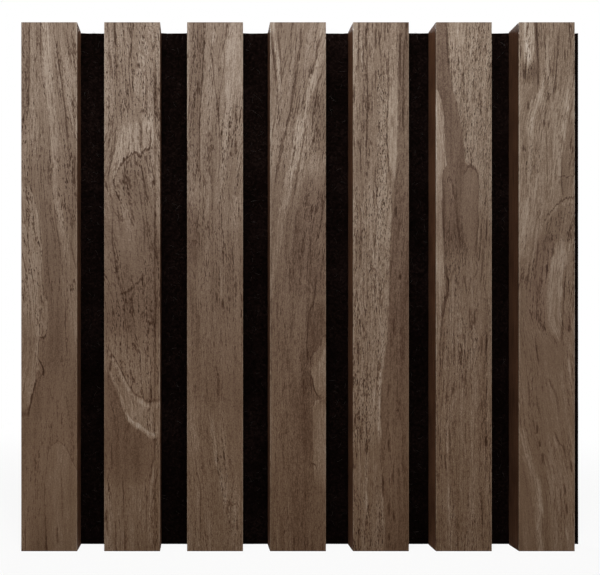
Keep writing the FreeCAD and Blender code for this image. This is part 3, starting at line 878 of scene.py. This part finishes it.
def drawnFigure(tree, figure, edgeX, edgeZ):
    # what all the marks together change: how much lighter, how many more vessels and how much redder
    margin = veneer["markMargin"]
    shares = {}
    for turned, beside, along in ((False, edgeX, edgeZ), (True, edgeZ, edgeX)):
        reach, middle, span = markFrame(turned)
        besideShare = addNode(tree, "ShaderNodeMapRange",
                              {"Value": beside, "From Min": middle - span / 2,
                               "From Max": middle + span / 2}, clamp=False)
        alongShare = addNode(tree, "ShaderNodeMapRange",
                             {"Value": along, "From Min": -margin, "From Max": reach + margin})
        shares[turned] = (besideShare, alongShare)
    drawn = {"fill": 0.0, "pores": 0.0, "red": 0.0}
    for mark in figure["marks"]:
        mask = markMask(tree, mark, shares)
        for name in drawn:
            share = mark[name]
            if not share:
                continue
            if name == "fill":
                share *= veneer["lightDrawn"] if share > 0 else veneer["darkDrawn"]
            drawn[name] = addNode(tree, "ShaderNodeMath", {0: mask, 1: share, 2: drawn[name]},
                                  operation="MULTIPLY_ADD")
        if mark["rim"]:
            rest = addNode(tree, "ShaderNodeMath", {0: 1.0, 1: mask}, operation="SUBTRACT")
            rim = addNode(tree, "ShaderNodeMath", {0: mask, 1: rest}, operation="MULTIPLY")
            share = mark["rim"] * veneer["rimPeak"] * veneer["darkDrawn"]
            drawn["fill"] = addNode(tree, "ShaderNodeMath", {0: rim, 1: share, 2: drawn["fill"]},
                                    operation="MULTIPLY_ADD")
    return drawn


def fibreNoise(tree, fibre, width, length, detail, rough, layer=0.0):
    # a noise drawn out along the fibres, from about -0.5 to 0.5
    sized = addNode(tree, "ShaderNodeMapping",
                    {"Vector": fibre, "Location": (0, layer, 0),
                     "Scale": (1 / width, veneer["grainDepth"], 1 / length)})
    noise = addNode(tree, "ShaderNodeTexNoise",
                    {"Vector": sized, "Scale": 1.0, "Detail": detail, "Roughness": rough})
    return addNode(tree, "ShaderNodeMath", {0: noise, 1: 0.5}, operation="SUBTRACT")


def figureTone(tree, grain, strength, fill):
    # threads, fibres and flecks as strong as the sheet's grain is there, then bands and clouds, and the
    # drawn figure over them, with the threads showing through
    tone = 0.0
    for name in ("thread", "fibre", "fleck"):
        tone = addNode(tree, "ShaderNodeMath", {0: grain[name], 1: veneer["grainShares"][name], 2: tone},
                       operation="MULTIPLY_ADD")
    tone = addNode(tree, "ShaderNodeMath", {0: tone, 1: strength, 2: 0.5}, operation="MULTIPLY_ADD")
    for name in ("ring", "cloud"):
        tone = addNode(tree, "ShaderNodeMath", {0: grain[name], 1: veneer["grainShares"][name], 2: tone},
                       operation="MULTIPLY_ADD")
    streaky = addNode(tree, "ShaderNodeMath", {0: grain["thread"], 1: veneer["streakyMarks"], 2: 1.0},
                      operation="MULTIPLY_ADD")
    return addNode(tree, "ShaderNodeMath", {0: fill, 1: streaky, 2: tone}, operation="MULTIPLY_ADD")


def darkLines(tree, fibre, broken, morePores, tone):
    # thin dark lines that wander with the fibres, broken here and there
    busy = addNode(tree, "ShaderNodeMath",
                   {0: morePores, 1: veneer["moreLines"], 2: veneer["lineShare"]},
                   operation="MULTIPLY_ADD", use_clamp=True)
    for index, (width, length, thick, deep) in enumerate(veneer["lines"]):
        noise = fibreNoise(tree, fibre, width, length, veneer["lineDetail"], veneer["lineRoughness"],
                           index * veneer["lineLayer"])
        near = addNode(tree, "ShaderNodeMath", {0: noise}, operation="ABSOLUTE")
        near = addNode(tree, "ShaderNodeMath", {0: broken, 1: thick * veneer["lineBreaks"], 2: near},
                       operation="MULTIPLY_ADD")
        line = addNode(tree, "ShaderNodeMapRange",
                       {"Value": near, "From Min": 0.0, "From Max": thick, "To Min": deep, "To Max": 0.0},
                       interpolation_type="SMOOTHSTEP")
        line = addNode(tree, "ShaderNodeMath", {0: line, 1: busy}, operation="MULTIPLY")
        tone = addNode(tree, "ShaderNodeMath", {0: tone, 1: line}, operation="SUBTRACT")
    return tone


def openVessels(tree, fibre, morePores, strength):
    # how deep the open vessels are: short dark dashes along the fibres, bold ones and fine ones
    soft = veneer["vesselEdge"]
    holes = 0.0
    for pitch, length, largest, deep, many in veneer["vessels"]:
        cells = addNode(tree, "ShaderNodeMapping",
                        {"Vector": fibre, "Scale": (1 / pitch, 0.0, 1 / length)})
        vessel = addNode(tree, "ShaderNodeTexVoronoi",
                         {"Vector": cells, "Scale": 1.0, "Randomness": 1.0}, feature="F1")
        chance = addNode(tree, "ShaderNodeSeparateColor", {0: vessel.outputs["Color"]})
        chance = addNode(tree, "ShaderNodeMath", {0: morePores, 1: veneer["moreVessels"], 2: chance},
                         operation="MULTIPLY_ADD")
        radius = addNode(tree, "ShaderNodeMapRange",
                         {"Value": chance, "From Min": 1 - many, "From Max": veneer["fullVessel"],
                          "To Min": veneer["smallestVessel"], "To Max": largest})
        inside = addNode(tree, "ShaderNodeMath", {0: radius, 1: vessel.outputs["Distance"]},
                         operation="SUBTRACT")
        hole = addNode(tree, "ShaderNodeMapRange",
                       {"Value": inside, "From Min": -soft, "From Max": soft, "To Max": deep},
                       interpolation_type="SMOOTHSTEP")
        holes = addNode(tree, "ShaderNodeMath", {0: holes, 1: hole}, operation="MAXIMUM")
    return addNode(tree, "ShaderNodeMath", {0: holes, 1: strength}, operation="MULTIPLY")


def edgesWithPaintedLight(tree, across, down, tone):
    # the long edges, paler from sanding and a painted highlight on the arris, and the sawn lower end, a
    # little darker by painted shade
    full = veneer["edgeFull"]
    over = veneer["edgeOver"]
    edge = addNode(tree, "ShaderNodeMath", {0: across, 1: slatWidthMm / 2}, operation="PINGPONG")
    # painted highlight, with some sanding: paler within a little of the long edges
    sanded = addNode(tree, "ShaderNodeMapRange",
                     {"Value": edge, "From Min": full, "From Max": over, "To Min": veneer["sanded"],
                      "To Max": 0.0}, interpolation_type="SMOOTHSTEP")
    tone = addNode(tree, "ShaderNodeMath", {0: tone, 1: sanded}, operation="ADD")
    # painted shade: the lower end a little darker
    sawnAndShaded = addNode(tree, "ShaderNodeMapRange",
                   {"Value": down, "From Min": slatLengthMm - over, "From Max": slatLengthMm - full,
                    "To Max": veneer["sawnAndShaded"]}, interpolation_type="SMOOTHSTEP")
    return addNode(tree, "ShaderNodeMath", {0: tone, 1: sawnAndShaded}, operation="SUBTRACT")


def woodColour(tree, tone, redness, downShare):
    # the tone as a colour of walnut, painted paler towards the sheet's upper end for light from above,
    # and greyer there for a painted sheen
    colours = addNode(tree, "ShaderNodeValToRGB", {0: tone})
    shades = [veneer[name] for name in ("dark", "brown", "middle", "light", "pale")]
    setStops(colours.color_ramp, [(index / 4, shade) for index, shade in enumerate(shades)])
    paintedTopLight = {}
    # painted top light and painted sheen: paler and greyer towards the upper end
    for name in ("saturation", "value", "hue"):
        upper, lower, reached = veneer[name]
        paintedTopLight[name] = addNode(tree, "ShaderNodeMapRange",
                             {"Value": downShare, "From Max": reached, "To Min": upper, "To Max": lower},
                             interpolation_type="SMOOTHSTEP")
    warmth = addNode(tree, "ShaderNodeMath", {0: redness, 1: -veneer["redHue"], 2: paintedTopLight["hue"]},
                     operation="MULTIPLY_ADD")
    return addNode(tree, "ShaderNodeHueSaturation",
                   {"Color": colours, "Hue": warmth, "Saturation": paintedTopLight["saturation"],
                    "Value": paintedTopLight["value"]})


def walnutVeneer(number):
    # American walnut, sliced and sanded, with a thin matt lacquer: dark open vessels, silky
    # bands that follow the growth rings, and a soft haze where the light grazes it, with painted sheen
    # near the top
    figure = figures[number]
    low, high = slatBoxes[number]
    material, tree = newMaterial("walnut veneer, sliced and lacquered %d" % number)
    where = addNode(tree, "ShaderNodeTexCoord").outputs["Object"]
    onSlat = addNode(tree, "ShaderNodeMapping",     # mm from the left edge and down from the upper end
                     {"Vector": where, "Scale": (perMetre, perMetre, -perMetre),
                      "Location": (-low.x * perMetre, -low.y * perMetre, high.z * perMetre)})
    place = addNode(tree, "ShaderNodeSeparateXYZ", {0: onSlat})
    across = place.outputs[0]
    down = place.outputs[2]
    downShare = addNode(tree, "ShaderNodeMath", {0: down, 1: slatLengthMm}, operation="DIVIDE")
    leanMm, strength = grainAlong(tree, figure, across, downShare)

    ragged = slowNoise(tree, onSlat, veneer["raggedWidth"], veneer["raggedLength"],
                       (0, number * veneer["raggedStep"], 0))
    edgeX = raggedPlace(tree, ragged, across, veneer["raggedAcross"])
    edgeZ = raggedPlace(tree, ragged, down, veneer["raggedAlong"])
    drawn = drawnFigure(tree, figure, edgeX, edgeZ)

    slow = slowNoise(tree, onSlat, veneer["wanderWidth"], veneer["wanderLength"],
                     (number * veneer["wanderStep"], 0, 0))
    wander = addNode(tree, "ShaderNodeMath", {0: slow, 1: veneer["wander"], 2: -veneer["wander"] / 2},
                     operation="MULTIPLY_ADD")
    straight = addNode(tree, "ShaderNodeMath", {0: across, 1: leanMm}, operation="SUBTRACT")
    fibreX = addNode(tree, "ShaderNodeMath", {0: straight, 1: wander}, operation="ADD")
    fibre = addNode(tree, "ShaderNodeCombineXYZ",   # the place across and along the fibres
                    {0: fibreX, 1: number * veneer["fibreStep"], 2: down})

    grain = {}
    for name, shape in veneer["grains"].items():
        grain[name] = fibreNoise(tree, fibre, *shape)
    tone = figureTone(tree, grain, strength, drawn["fill"])
    morePores = addNode(tree, "ShaderNodeMath",
                        {0: grain["cloud"], 1: veneer["cloudVessels"], 2: drawn["pores"]},
                        operation="MULTIPLY_ADD")
    redness = addNode(tree, "ShaderNodeMath", {0: grain["cloud"], 1: veneer["cloudRed"], 2: drawn["red"]},
                      operation="MULTIPLY_ADD")
    tone = darkLines(tree, fibre, grain["fibre"], morePores, tone)
    holes = openVessels(tree, fibre, morePores, strength)
    tone = addNode(tree, "ShaderNodeMath", {0: tone, 1: holes}, operation="SUBTRACT")
    tone = edgesWithPaintedLight(tree, across, down, tone)

    height = addNode(tree, "ShaderNodeMath", {0: grain["fibre"], 1: veneer["relief"], 2: 0.5},
                     operation="MULTIPLY_ADD")
    height = addNode(tree, "ShaderNodeMath", {0: height, 1: holes}, operation="SUBTRACT")
    lift = addNode(tree, "ShaderNodeBump", {"Height": height, "Strength": veneer["reliefStrength"],
                                            "Distance": veneer["reliefMm"] * mm})
    dull = addNode(tree, "ShaderNodeMapRange",
                   {"Value": tone, "From Max": veneer["smoothTone"], "To Min": 1.0,
                    "To Max": veneer["roughness"]})
    wood = addNode(tree, "ShaderNodeBsdfPrincipled",
                   {"Base Color": woodColour(tree, tone, redness, downShare), "Roughness": dull,
                    "IOR": 1.5, "Specular IOR Level": veneer["specular"], "Normal": lift})
    addNode(tree, "ShaderNodeOutputMaterial", {"Surface": wood})
    return material


def dress(node, material):
    # a CAD node keeps its mesh and gets this material
    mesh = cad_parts[node].data
    mesh.materials.clear()
    mesh.materials.append(material)


for number in slatNumbers:
    dress("slat_%d_veneer" % number, walnutVeneer(number))
print("veneer laid")


core = {
    "colour": "#503220",
    "darkColour": "#3c2415",
    "paleColour": "#60402c",
    "darkFrom": 0.72,        # the tone of the darkest places, and the one where the pale ones set off
    "paleFrom": 1.0,
    "streakWidth": 0.5,      # mm, marks left by the saw along the sides
    "streakLength": 16.0,
    "fibre": 0.35,           # mm, wood fibres too fine to show, drawn coarser
    "patches": 16.67,        # mm, uneven dye
    "glueColour": "#1c120c",
    "glueFull": 0.6,         # mm behind the front: the film of glue under the veneer, and where it ends
    "glueOver": 1.3,
    "glueShare": 0.75,
    "reliefMm": 0.2,
    "paintedStripShade": (1.0, 1.0, 0.98, 1.0, 1.0, 0.95, 0.66),   # painted shade: how much darker each strip's core is painted, for the shade on its sides
}


def dyedFibreboard(number):
    # fibreboard dyed through and sawn: dull, even brown with faint saw streaks and a felted cut
    material, tree = newMaterial("fibreboard, dyed brown and sawn %d" % number)
    where = addNode(tree, "ShaderNodeTexCoord").outputs["Object"]
    width = perMetre / core["streakWidth"]
    streaks = addNode(tree, "ShaderNodeMapping",
                      {"Vector": where, "Scale": (width, width, perMetre / core["streakLength"])})
    streak = addNode(tree, "ShaderNodeTexNoise",
                     {"Vector": streaks, "Scale": 1.0, "Detail": 3.0, "Roughness": 0.6})
    fibres = addNode(tree, "ShaderNodeTexNoise",
                     {"Vector": where, "Scale": perMetre / core["fibre"], "Detail": 2.0,
                      "Roughness": 0.7, "Distortion": 0.6})
    patches = addNode(tree, "ShaderNodeTexNoise",
                      {"Vector": where, "Scale": perMetre / core["patches"], "Detail": 2.0})
    tone = addNode(tree, "ShaderNodeMath", {0: fibres, 1: 0.5, 2: streak}, operation="MULTIPLY_ADD")
    tone = addNode(tree, "ShaderNodeMath", {0: patches, 1: 0.5, 2: tone}, operation="MULTIPLY_ADD")
    colours = addNode(tree, "ShaderNodeValToRGB", {0: tone})
    setStops(colours.color_ramp, [(core["darkFrom"], core["darkColour"]),
                                  (core["paleFrom"], core["colour"]),
                                  (core["paleFrom"], core["paleColour"])])
    place = addNode(tree, "ShaderNodeSeparateXYZ", {0: where})
    glue = addNode(tree, "ShaderNodeMapRange",
                   {"Value": place.outputs[1], "From Min": frontY + core["glueFull"] * mm,
                    "From Max": frontY + core["glueOver"] * mm, "To Min": core["glueShare"],
                    "To Max": 0.0}, interpolation_type="SMOOTHSTEP")
    shaded = addNode(tree, "ShaderNodeMix", {0: glue, 6: colours, 7: linear(core["glueColour"])},
                     data_type="RGBA")
    # painted shade, strip by strip, over the dyed colour
    dyedAndShaded = addNode(tree, "ShaderNodeHueSaturation",
                   {"Color": shaded.outputs[2], "Value": core["paintedStripShade"][number - 1]})
    lift = addNode(tree, "ShaderNodeBump",
                   {"Height": tone, "Strength": 0.5, "Distance": core["reliefMm"] * mm})
    board = addNode(tree, "ShaderNodeBsdfPrincipled",
                    {"Base Color": dyedAndShaded, "Roughness": 0.85, "IOR": 1.5, "Specular IOR Level": 0.1,
                     "Normal": lift})
    addNode(tree, "ShaderNodeOutputMaterial", {"Surface": board})
    return material


for number in slatNumbers:
    dress("slat_%d_core" % number, dyedFibreboard(number))
print("cores dyed")


wire = {
    "paleColour": "#b6b8ba",
    "darkColour": "#8f9295",
    "spangle": 1.111,        # mm, crystals of zinc
    "linesLength": 3.333,    # mm, drawing lines
    "linesWidth": 0.1111,
    "smooth": 0.26,          # the roughness at its least and at its most
    "rough": 0.46,
    "reliefMm": 0.03,
}


def galvanisedWire():
    # galvanised flat wire: bright grey zinc, rolled smooth, with fine drawing lines
    material, tree = newMaterial("steel staple wire, galvanised and drawn")
    where = addNode(tree, "ShaderNodeTexCoord").outputs["Object"]
    along = perMetre / wire["linesLength"]
    lines = addNode(tree, "ShaderNodeMapping",
                    {"Vector": where, "Scale": (along, along, perMetre / wire["linesWidth"])})
    drawn = addNode(tree, "ShaderNodeTexNoise", {"Vector": lines, "Scale": 1.0, "Detail": 3.0})
    spangle = addNode(tree, "ShaderNodeTexNoise",
                      {"Vector": where, "Scale": perMetre / wire["spangle"], "Detail": 2.0})
    colours = addNode(tree, "ShaderNodeValToRGB", {0: spangle})
    setStops(colours.color_ramp, [(0.3, wire["darkColour"]), (0.7, wire["paleColour"])])
    dull = addNode(tree, "ShaderNodeMapRange",
                   {"Value": drawn, "To Min": wire["smooth"], "To Max": wire["rough"]})
    lift = addNode(tree, "ShaderNodeBump",
                   {"Height": drawn, "Strength": 0.3, "Distance": wire["reliefMm"] * mm})
    steel = addNode(tree, "ShaderNodeBsdfPrincipled",
                    {"Base Color": colours, "Metallic": 1.0, "Roughness": dull, "Normal": lift})
    addNode(tree, "ShaderNodeOutputMaterial", {"Surface": steel})
    return material


dress("staples", galvanisedWire())
print("staples galvanised")


felt = {
    "columns": 110,          # of the grid on the back
    "rows": 102,
    # mm from the back, mm in from the edge
    "edgeSteps": [(0.0, 0.8), (0.15, 0.42), (0.42, 0.15), (0.8, 0.0), (3.0, 0.0), (6.0, 0.0), (8.2, 0.0),
                  (8.58, 0.15), (8.85, 0.42), (9.0, 0.8)],
    "endMargin": 0.050,      # metres from the end to the first row of staples
    "crownHalf": 6.0 * mm,
    "dentDepth": 1.2 * mm,   # the crowns have pulled the felt in this far
    "dentFrom": 0.7 * mm,    # from the crown's middle line
    "dentReach": 3.6 * mm,
    "dentFine": 9.0 * mm,    # how far round a crown the grid is made finer
    "backDepth": 1.0 * mm,   # what lies less far than this from the wall is the back
    "frontDepth": 8.0 * mm,  # and what lies further is the front
    "facesBack": 0.9,        # how straight back a face looks that is made finer
    # how loosely the fibres lie, 0 under a slat and 1 on the open felt
    "tightRound": 1.5 * mm,  # from a crown's middle line, still 0
    "underSlat": 1.0 * mm,   # past a slat's sides, still 0
    "looseEdge": 0.35,
    "looseTrimmed": 0.3,
    "looseLeast": 0.4,       # from here up single fibres stand off the felt
    "trimmed": 1.5 * mm,     # from the edges, and a little more where the panel stands on its end
    "standingPart": 2.5 * mm,
    "unevenness": 0.35 * mm,
    "unevenSize": 0.011,
    "unevenLevel": 0.9,      # nearly all inwards, so the box stays the board's
    "roundedBelow": 60,      # degrees, edges flatter than this are shaded round
    "fibreCount": 6500,
    "fibreLength": 2.6 * mm,
    "fibreRise": 0.9 * mm,   # how high the middle of a fibre bends off the felt
    "fibreSwing": 0.5 * mm,  # how far its end lies to the side
    "fibreEnd": 0.1 * mm,    # and how high
    "fibreRadius": 0.03 * mm,   # real fibres are half as thick, too fine to show
    "fibreTilt": 0.25,       # radians
    "fibreTurn": 6.283,
    "fibreSizes": (0.5, 1.25),
    "spreadSeed": 11,
    "turnSeed": 5,
    "sizeSeed": 7,
    "colour": "#0c0605",
    "darkColour": "#040201",
    "paleColour": "#1f1613",
    "fibreColour": "#2c2421",
    # mm, and all drawn coarser than in real felt, whose fibres are too fine to show
    "curls": 3.846,
    "nap": 0.7143,
    "tufts": 1.429,
    "clouds": 22.22,
    "curl": 0.006,           # the share of the curls in the place that the nap is read at
    "reliefMm": 0.6,
}


def crownPlaces():
    # the middle of each staple's crown: half way across its slat, in rows near the two ends
    heights = [feltLow.z + felt["endMargin"], feltHigh.z - felt["endMargin"]]
    return [((low.x + high.x) / 2, z) for low, high in slatBoxes.values() for z in heights]


def crownDistance(x, z, crowns):
    # how far the nearest crown's middle line is
    distances = []
    for middle, height in crowns:
        beside = max(abs(x - middle) - felt["crownHalf"], 0.0)
        distances.append(math.hypot(beside, z - height))
    return min(distances)


def sortFaces(mesh):
    # extruding leaves the faces in an order that changes from run to run, and the fibres are
    # scattered by it, so the faces are put in the order of their corners
    work = bmesh.new()
    work.from_mesh(mesh)
    count = len(work.verts)

    def order(face):
        lowest = sorted(vertex.index for vertex in face.verts)
        return (lowest[0] * count + lowest[1]) * count + lowest[2]

    work.faces.sort(key=order)
    work.to_mesh(mesh)
    work.free()


def roundedBoard():
    # a fine grid for the back, drawn out to the front in steps that round its edges
    width = feltHigh.x - feltLow.x
    height = feltHigh.z - feltLow.z
    centre = ((feltLow.x + feltHigh.x) / 2, feltHigh.y, (feltLow.z + feltHigh.z) / 2)
    bpy.ops.object.select_all(action="DESELECT")
    bpy.ops.mesh.primitive_grid_add(x_subdivisions=felt["columns"], y_subdivisions=felt["rows"], size=1,
                                    location=centre, rotation=(math.radians(-90), 0, 0))
    board = bpy.context.object
    board.name = "felt_board"
    before, taken = felt["edgeSteps"][0]
    board.scale = (width - 2 * taken * mm, height - 2 * taken * mm, 1)
    bpy.ops.object.transform_apply(location=True, rotation=True, scale=True)
    bpy.ops.object.mode_set(mode="EDIT")
    bpy.ops.mesh.select_all(action="SELECT")
    for depth, inset in felt["edgeSteps"][1:]:
        step = (0, -(depth - before) * mm, 0)
        bpy.ops.mesh.extrude_region_move(TRANSFORM_OT_translate={"value": step})
        wide = (width - 2 * inset * mm) / (width - 2 * taken * mm)
        tall = (height - 2 * inset * mm) / (height - 2 * taken * mm)
        bpy.ops.transform.resize(value=(wide, 1, tall), center_override=centre)
        before, taken = depth, inset
    bpy.ops.mesh.select_all(action="SELECT")
    bpy.ops.mesh.normals_make_consistent(inside=False)
    bpy.ops.mesh.select_all(action="DESELECT")
    bpy.ops.object.mode_set(mode="OBJECT")
    return board


def refineRoundCrowns(board, crowns):
    # a finer grid round each crown, in two steps
    for times in range(2):
        reach = felt["dentFine"] / (times + 1.5)
        for face in board.data.polygons:
            near = crownDistance(face.center.x, face.center.z, crowns)
            face.select = face.normal.y > felt["facesBack"] and near < reach
        bpy.ops.object.mode_set(mode="EDIT")
        bpy.ops.mesh.select_mode(type="FACE")
        bpy.ops.mesh.subdivide(number_cuts=1)
        bpy.ops.mesh.select_all(action="DESELECT")
        bpy.ops.object.mode_set(mode="OBJECT")


def dentShare(near):
    # how far the felt is pulled in at this distance from a crown: 1 at it, easing to 0
    share = max(0.0, 1 - max(near - felt["dentFrom"], 0) / felt["dentReach"])
    return share * share * (3 - 2 * share)


def looseShare(x, y, z, near):
    # how loosely the felt's fibres lie here, 0 to 1
    cut = min(x - feltLow.x, feltHigh.x - x, z - feltLow.z - felt["standingPart"])
    if cut < felt["trimmed"]:                # the cut edges have lost their loose fibres
        return felt["looseTrimmed"]
    if y > -felt["backDepth"]:
        return min(1.0, max(0.0, (near - felt["tightRound"]) / felt["dentReach"]))
    if y > -felt["frontDepth"]:
        return felt["looseEdge"]
    past = felt["underSlat"]
    behindSlat = any(low.x - past < x < high.x + past for low, high in slatBoxes.values())
    return 0.0 if behindSlat else 1.0


def feltBoard():
    # the board with its dents and its uneven surface
    board = roundedBoard()
    crowns = crownPlaces()
    refineRoundCrowns(board, crowns)
    sortFaces(board.data)
    dent = board.vertex_groups.new(name="dent")
    loose = board.vertex_groups.new(name="loose")
    for vertex in board.data.vertices:
        x, y, z = vertex.co
        near = crownDistance(x, z, crowns)
        if y > -felt["backDepth"] and dentShare(near) > 0:
            dent.add([vertex.index], dentShare(near), "REPLACE")
        loose.add([vertex.index], looseShare(x, y, z, near), "REPLACE")
    wool = bpy.data.textures.new("pressed wool", "CLOUDS")
    wool.noise_scale = felt["unevenSize"]
    wool.noise_depth = 3
    uneven = board.modifiers.new("uneven", "DISPLACE")
    uneven.texture = wool
    uneven.texture_coords = "LOCAL"
    uneven.strength = felt["unevenness"]
    uneven.mid_level = felt["unevenLevel"]
    uneven.vertex_group = "loose"
    bpy.ops.object.modifier_apply(modifier="uneven")
    pulled = board.modifiers.new("pulled in", "DISPLACE")
    pulled.direction = "Y"
    pulled.strength = -felt["dentDepth"]
    pulled.mid_level = 0.0
    pulled.vertex_group = "dent"
    bpy.ops.object.modifier_apply(modifier="pulled in")
    bpy.ops.object.shade_smooth_by_angle(angle=math.radians(felt["roundedBelow"]))
    return board


def fibreStrand(tree):
    # one loose fibre: a thin strand with a bend
    length = felt["fibreLength"]
    strand = addNode(tree, "GeometryNodeCurveQuadraticBezier",
                     {"Resolution": 3, "Start": (0, 0, 0), "Middle": (length * 0.5, 0, felt["fibreRise"]),
                      "End": (length, felt["fibreSwing"], felt["fibreEnd"])})
    ring = addNode(tree, "GeometryNodeCurvePrimitiveCircle",
                   {"Resolution": 3, "Radius": felt["fibreRadius"]})
    return addNode(tree, "GeometryNodeCurveToMesh",
                   {"Curve": strand, "Profile Curve": ring, "Fill Caps": True})


def looseFibres(board):
    # single fibres that stand off the felt, scattered over it where it is loose
    bpy.ops.object.select_all(action="DESELECT")
    fuzz = board.copy()
    fuzz.data = board.data.copy()
    fuzz.name = "felt_fibres"
    bpy.context.scene.collection.objects.link(fuzz)
    bpy.context.view_layer.objects.active = fuzz
    fuzz.select_set(True)
    tree = bpy.data.node_groups.new("scattered fibres", "GeometryNodeTree")
    for way in ("INPUT", "OUTPUT"):
        tree.interface.new_socket("Geometry", in_out=way, socket_type="NodeSocketGeometry")
    given = addNode(tree, "NodeGroupInput")
    free = addNode(tree, "GeometryNodeInputNamedAttribute", {"Name": "loose"}, data_type="FLOAT")
    bare = addNode(tree, "FunctionNodeCompare", {0: free, 1: felt["looseLeast"]}, data_type="FLOAT",
                   operation="GREATER_THAN")
    area = 2 * (feltHigh.x - feltLow.x) * (feltHigh.z - feltLow.z)
    spread = addNode(tree, "GeometryNodeDistributePointsOnFaces",
                     {"Mesh": given, "Selection": bare, "Density": felt["fibreCount"] / area,
                      "Seed": felt["spreadSeed"]})
    tilt = felt["fibreTilt"]
    turn = addNode(tree, "FunctionNodeRandomValue",
                   {0: (-tilt, -tilt, 0), 1: (tilt, tilt, felt["fibreTurn"]), "Seed": felt["turnSeed"]},
                   data_type="FLOAT_VECTOR")
    turned = addNode(tree, "FunctionNodeRotateEuler",
                     {"Rotation": spread.outputs["Rotation"], "Rotate By": turn},
                     rotation_type="EULER", space="LOCAL")
    smallest, largest = felt["fibreSizes"]
    size = addNode(tree, "FunctionNodeRandomValue", {2: smallest, 3: largest, "Seed": felt["sizeSeed"]},
                   data_type="FLOAT")
    placed = addNode(tree, "GeometryNodeInstanceOnPoints",
                     {"Points": spread, "Instance": fibreStrand(tree), "Rotation": turned,
                      "Scale": size.outputs[1]})
    real = addNode(tree, "GeometryNodeRealizeInstances", {0: placed})
    addNode(tree, "NodeGroupOutput", {0: real})
    scatter = fuzz.modifiers.new("scattered fibres", "NODES")
    scatter.node_group = tree
    bpy.ops.object.modifier_apply(modifier="scattered fibres")
    return fuzz


def blackFelt():
    # felt of black PET fibres, needled and pressed: almost no shine, a matted nap, dark pits between
    material, tree = newMaterial("PET felt, needled and pressed")
    where = addNode(tree, "ShaderNodeTexCoord").outputs["Object"]
    bent = addNode(tree, "ShaderNodeTexNoise",
                   {"Vector": where, "Scale": perMetre / felt["curls"], "Detail": 2.0})
    curled = addNode(tree, "ShaderNodeMix", {0: felt["curl"], 4: where, 5: bent.outputs["Color"]},
                     data_type="VECTOR", factor_mode="UNIFORM").outputs[1]
    matted = addNode(tree, "ShaderNodeTexNoise",
                     {"Vector": curled, "Scale": perMetre / felt["nap"], "Detail": 4.0,
                      "Roughness": 0.75})
    tufts = addNode(tree, "ShaderNodeTexVoronoi",
                    {"Vector": curled, "Scale": perMetre / felt["tufts"], "Randomness": 1.0},
                    feature="F1")
    clouds = addNode(tree, "ShaderNodeTexNoise",
                     {"Vector": where, "Scale": perMetre / felt["clouds"], "Detail": 3.0})
    tone = addNode(tree, "ShaderNodeMath", {0: tufts.outputs["Distance"], 1: -0.35, 2: matted},
                   operation="MULTIPLY_ADD")
    tone = addNode(tree, "ShaderNodeMath", {0: clouds, 1: 0.4, 2: tone}, operation="MULTIPLY_ADD")
    colours = addNode(tree, "ShaderNodeValToRGB", {0: tone})
    setStops(colours.color_ramp, [(0.3, felt["darkColour"]), (0.55, felt["colour"]),
                                  (0.85, felt["paleColour"])])
    lift = addNode(tree, "ShaderNodeBump",
                   {"Height": tone, "Strength": 0.9, "Distance": felt["reliefMm"] * mm})
    nap = addNode(tree, "ShaderNodeBsdfPrincipled",
                  {"Base Color": colours, "Roughness": 0.95, "IOR": 1.45, "Specular IOR Level": 0.01,
                   "Normal": lift})
    addNode(tree, "ShaderNodeOutputMaterial", {"Surface": nap})
    return material


def strayFibre():
    # single drawn PET fibres, round and smooth: each one catches the light, so the nap reads as hairy
    material, tree = newMaterial("PET fibre, drawn and crimped")
    hair = addNode(tree, "ShaderNodeBsdfPrincipled",
                   {"Base Color": linear(felt["fibreColour"]), "Roughness": 0.5, "IOR": 1.57,
                    "Specular IOR Level": 0.3})
    addNode(tree, "ShaderNodeOutputMaterial", {"Surface": hair})
    return material


board = feltBoard()
print("felt board:", len(board.data.polygons), "faces")
fuzz = looseFibres(board)
print("loose fibres:", len(fuzz.data.polygons), "faces")
for piece, material in ((board, blackFelt()), (fuzz, strayFibre())):
    piece.data.materials.clear()
    piece.data.materials.append(material)
    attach(piece, "root")
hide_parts("felt_backing")
print("felt pressed")


bpy.context.scene.view_settings.view_transform = "Standard"
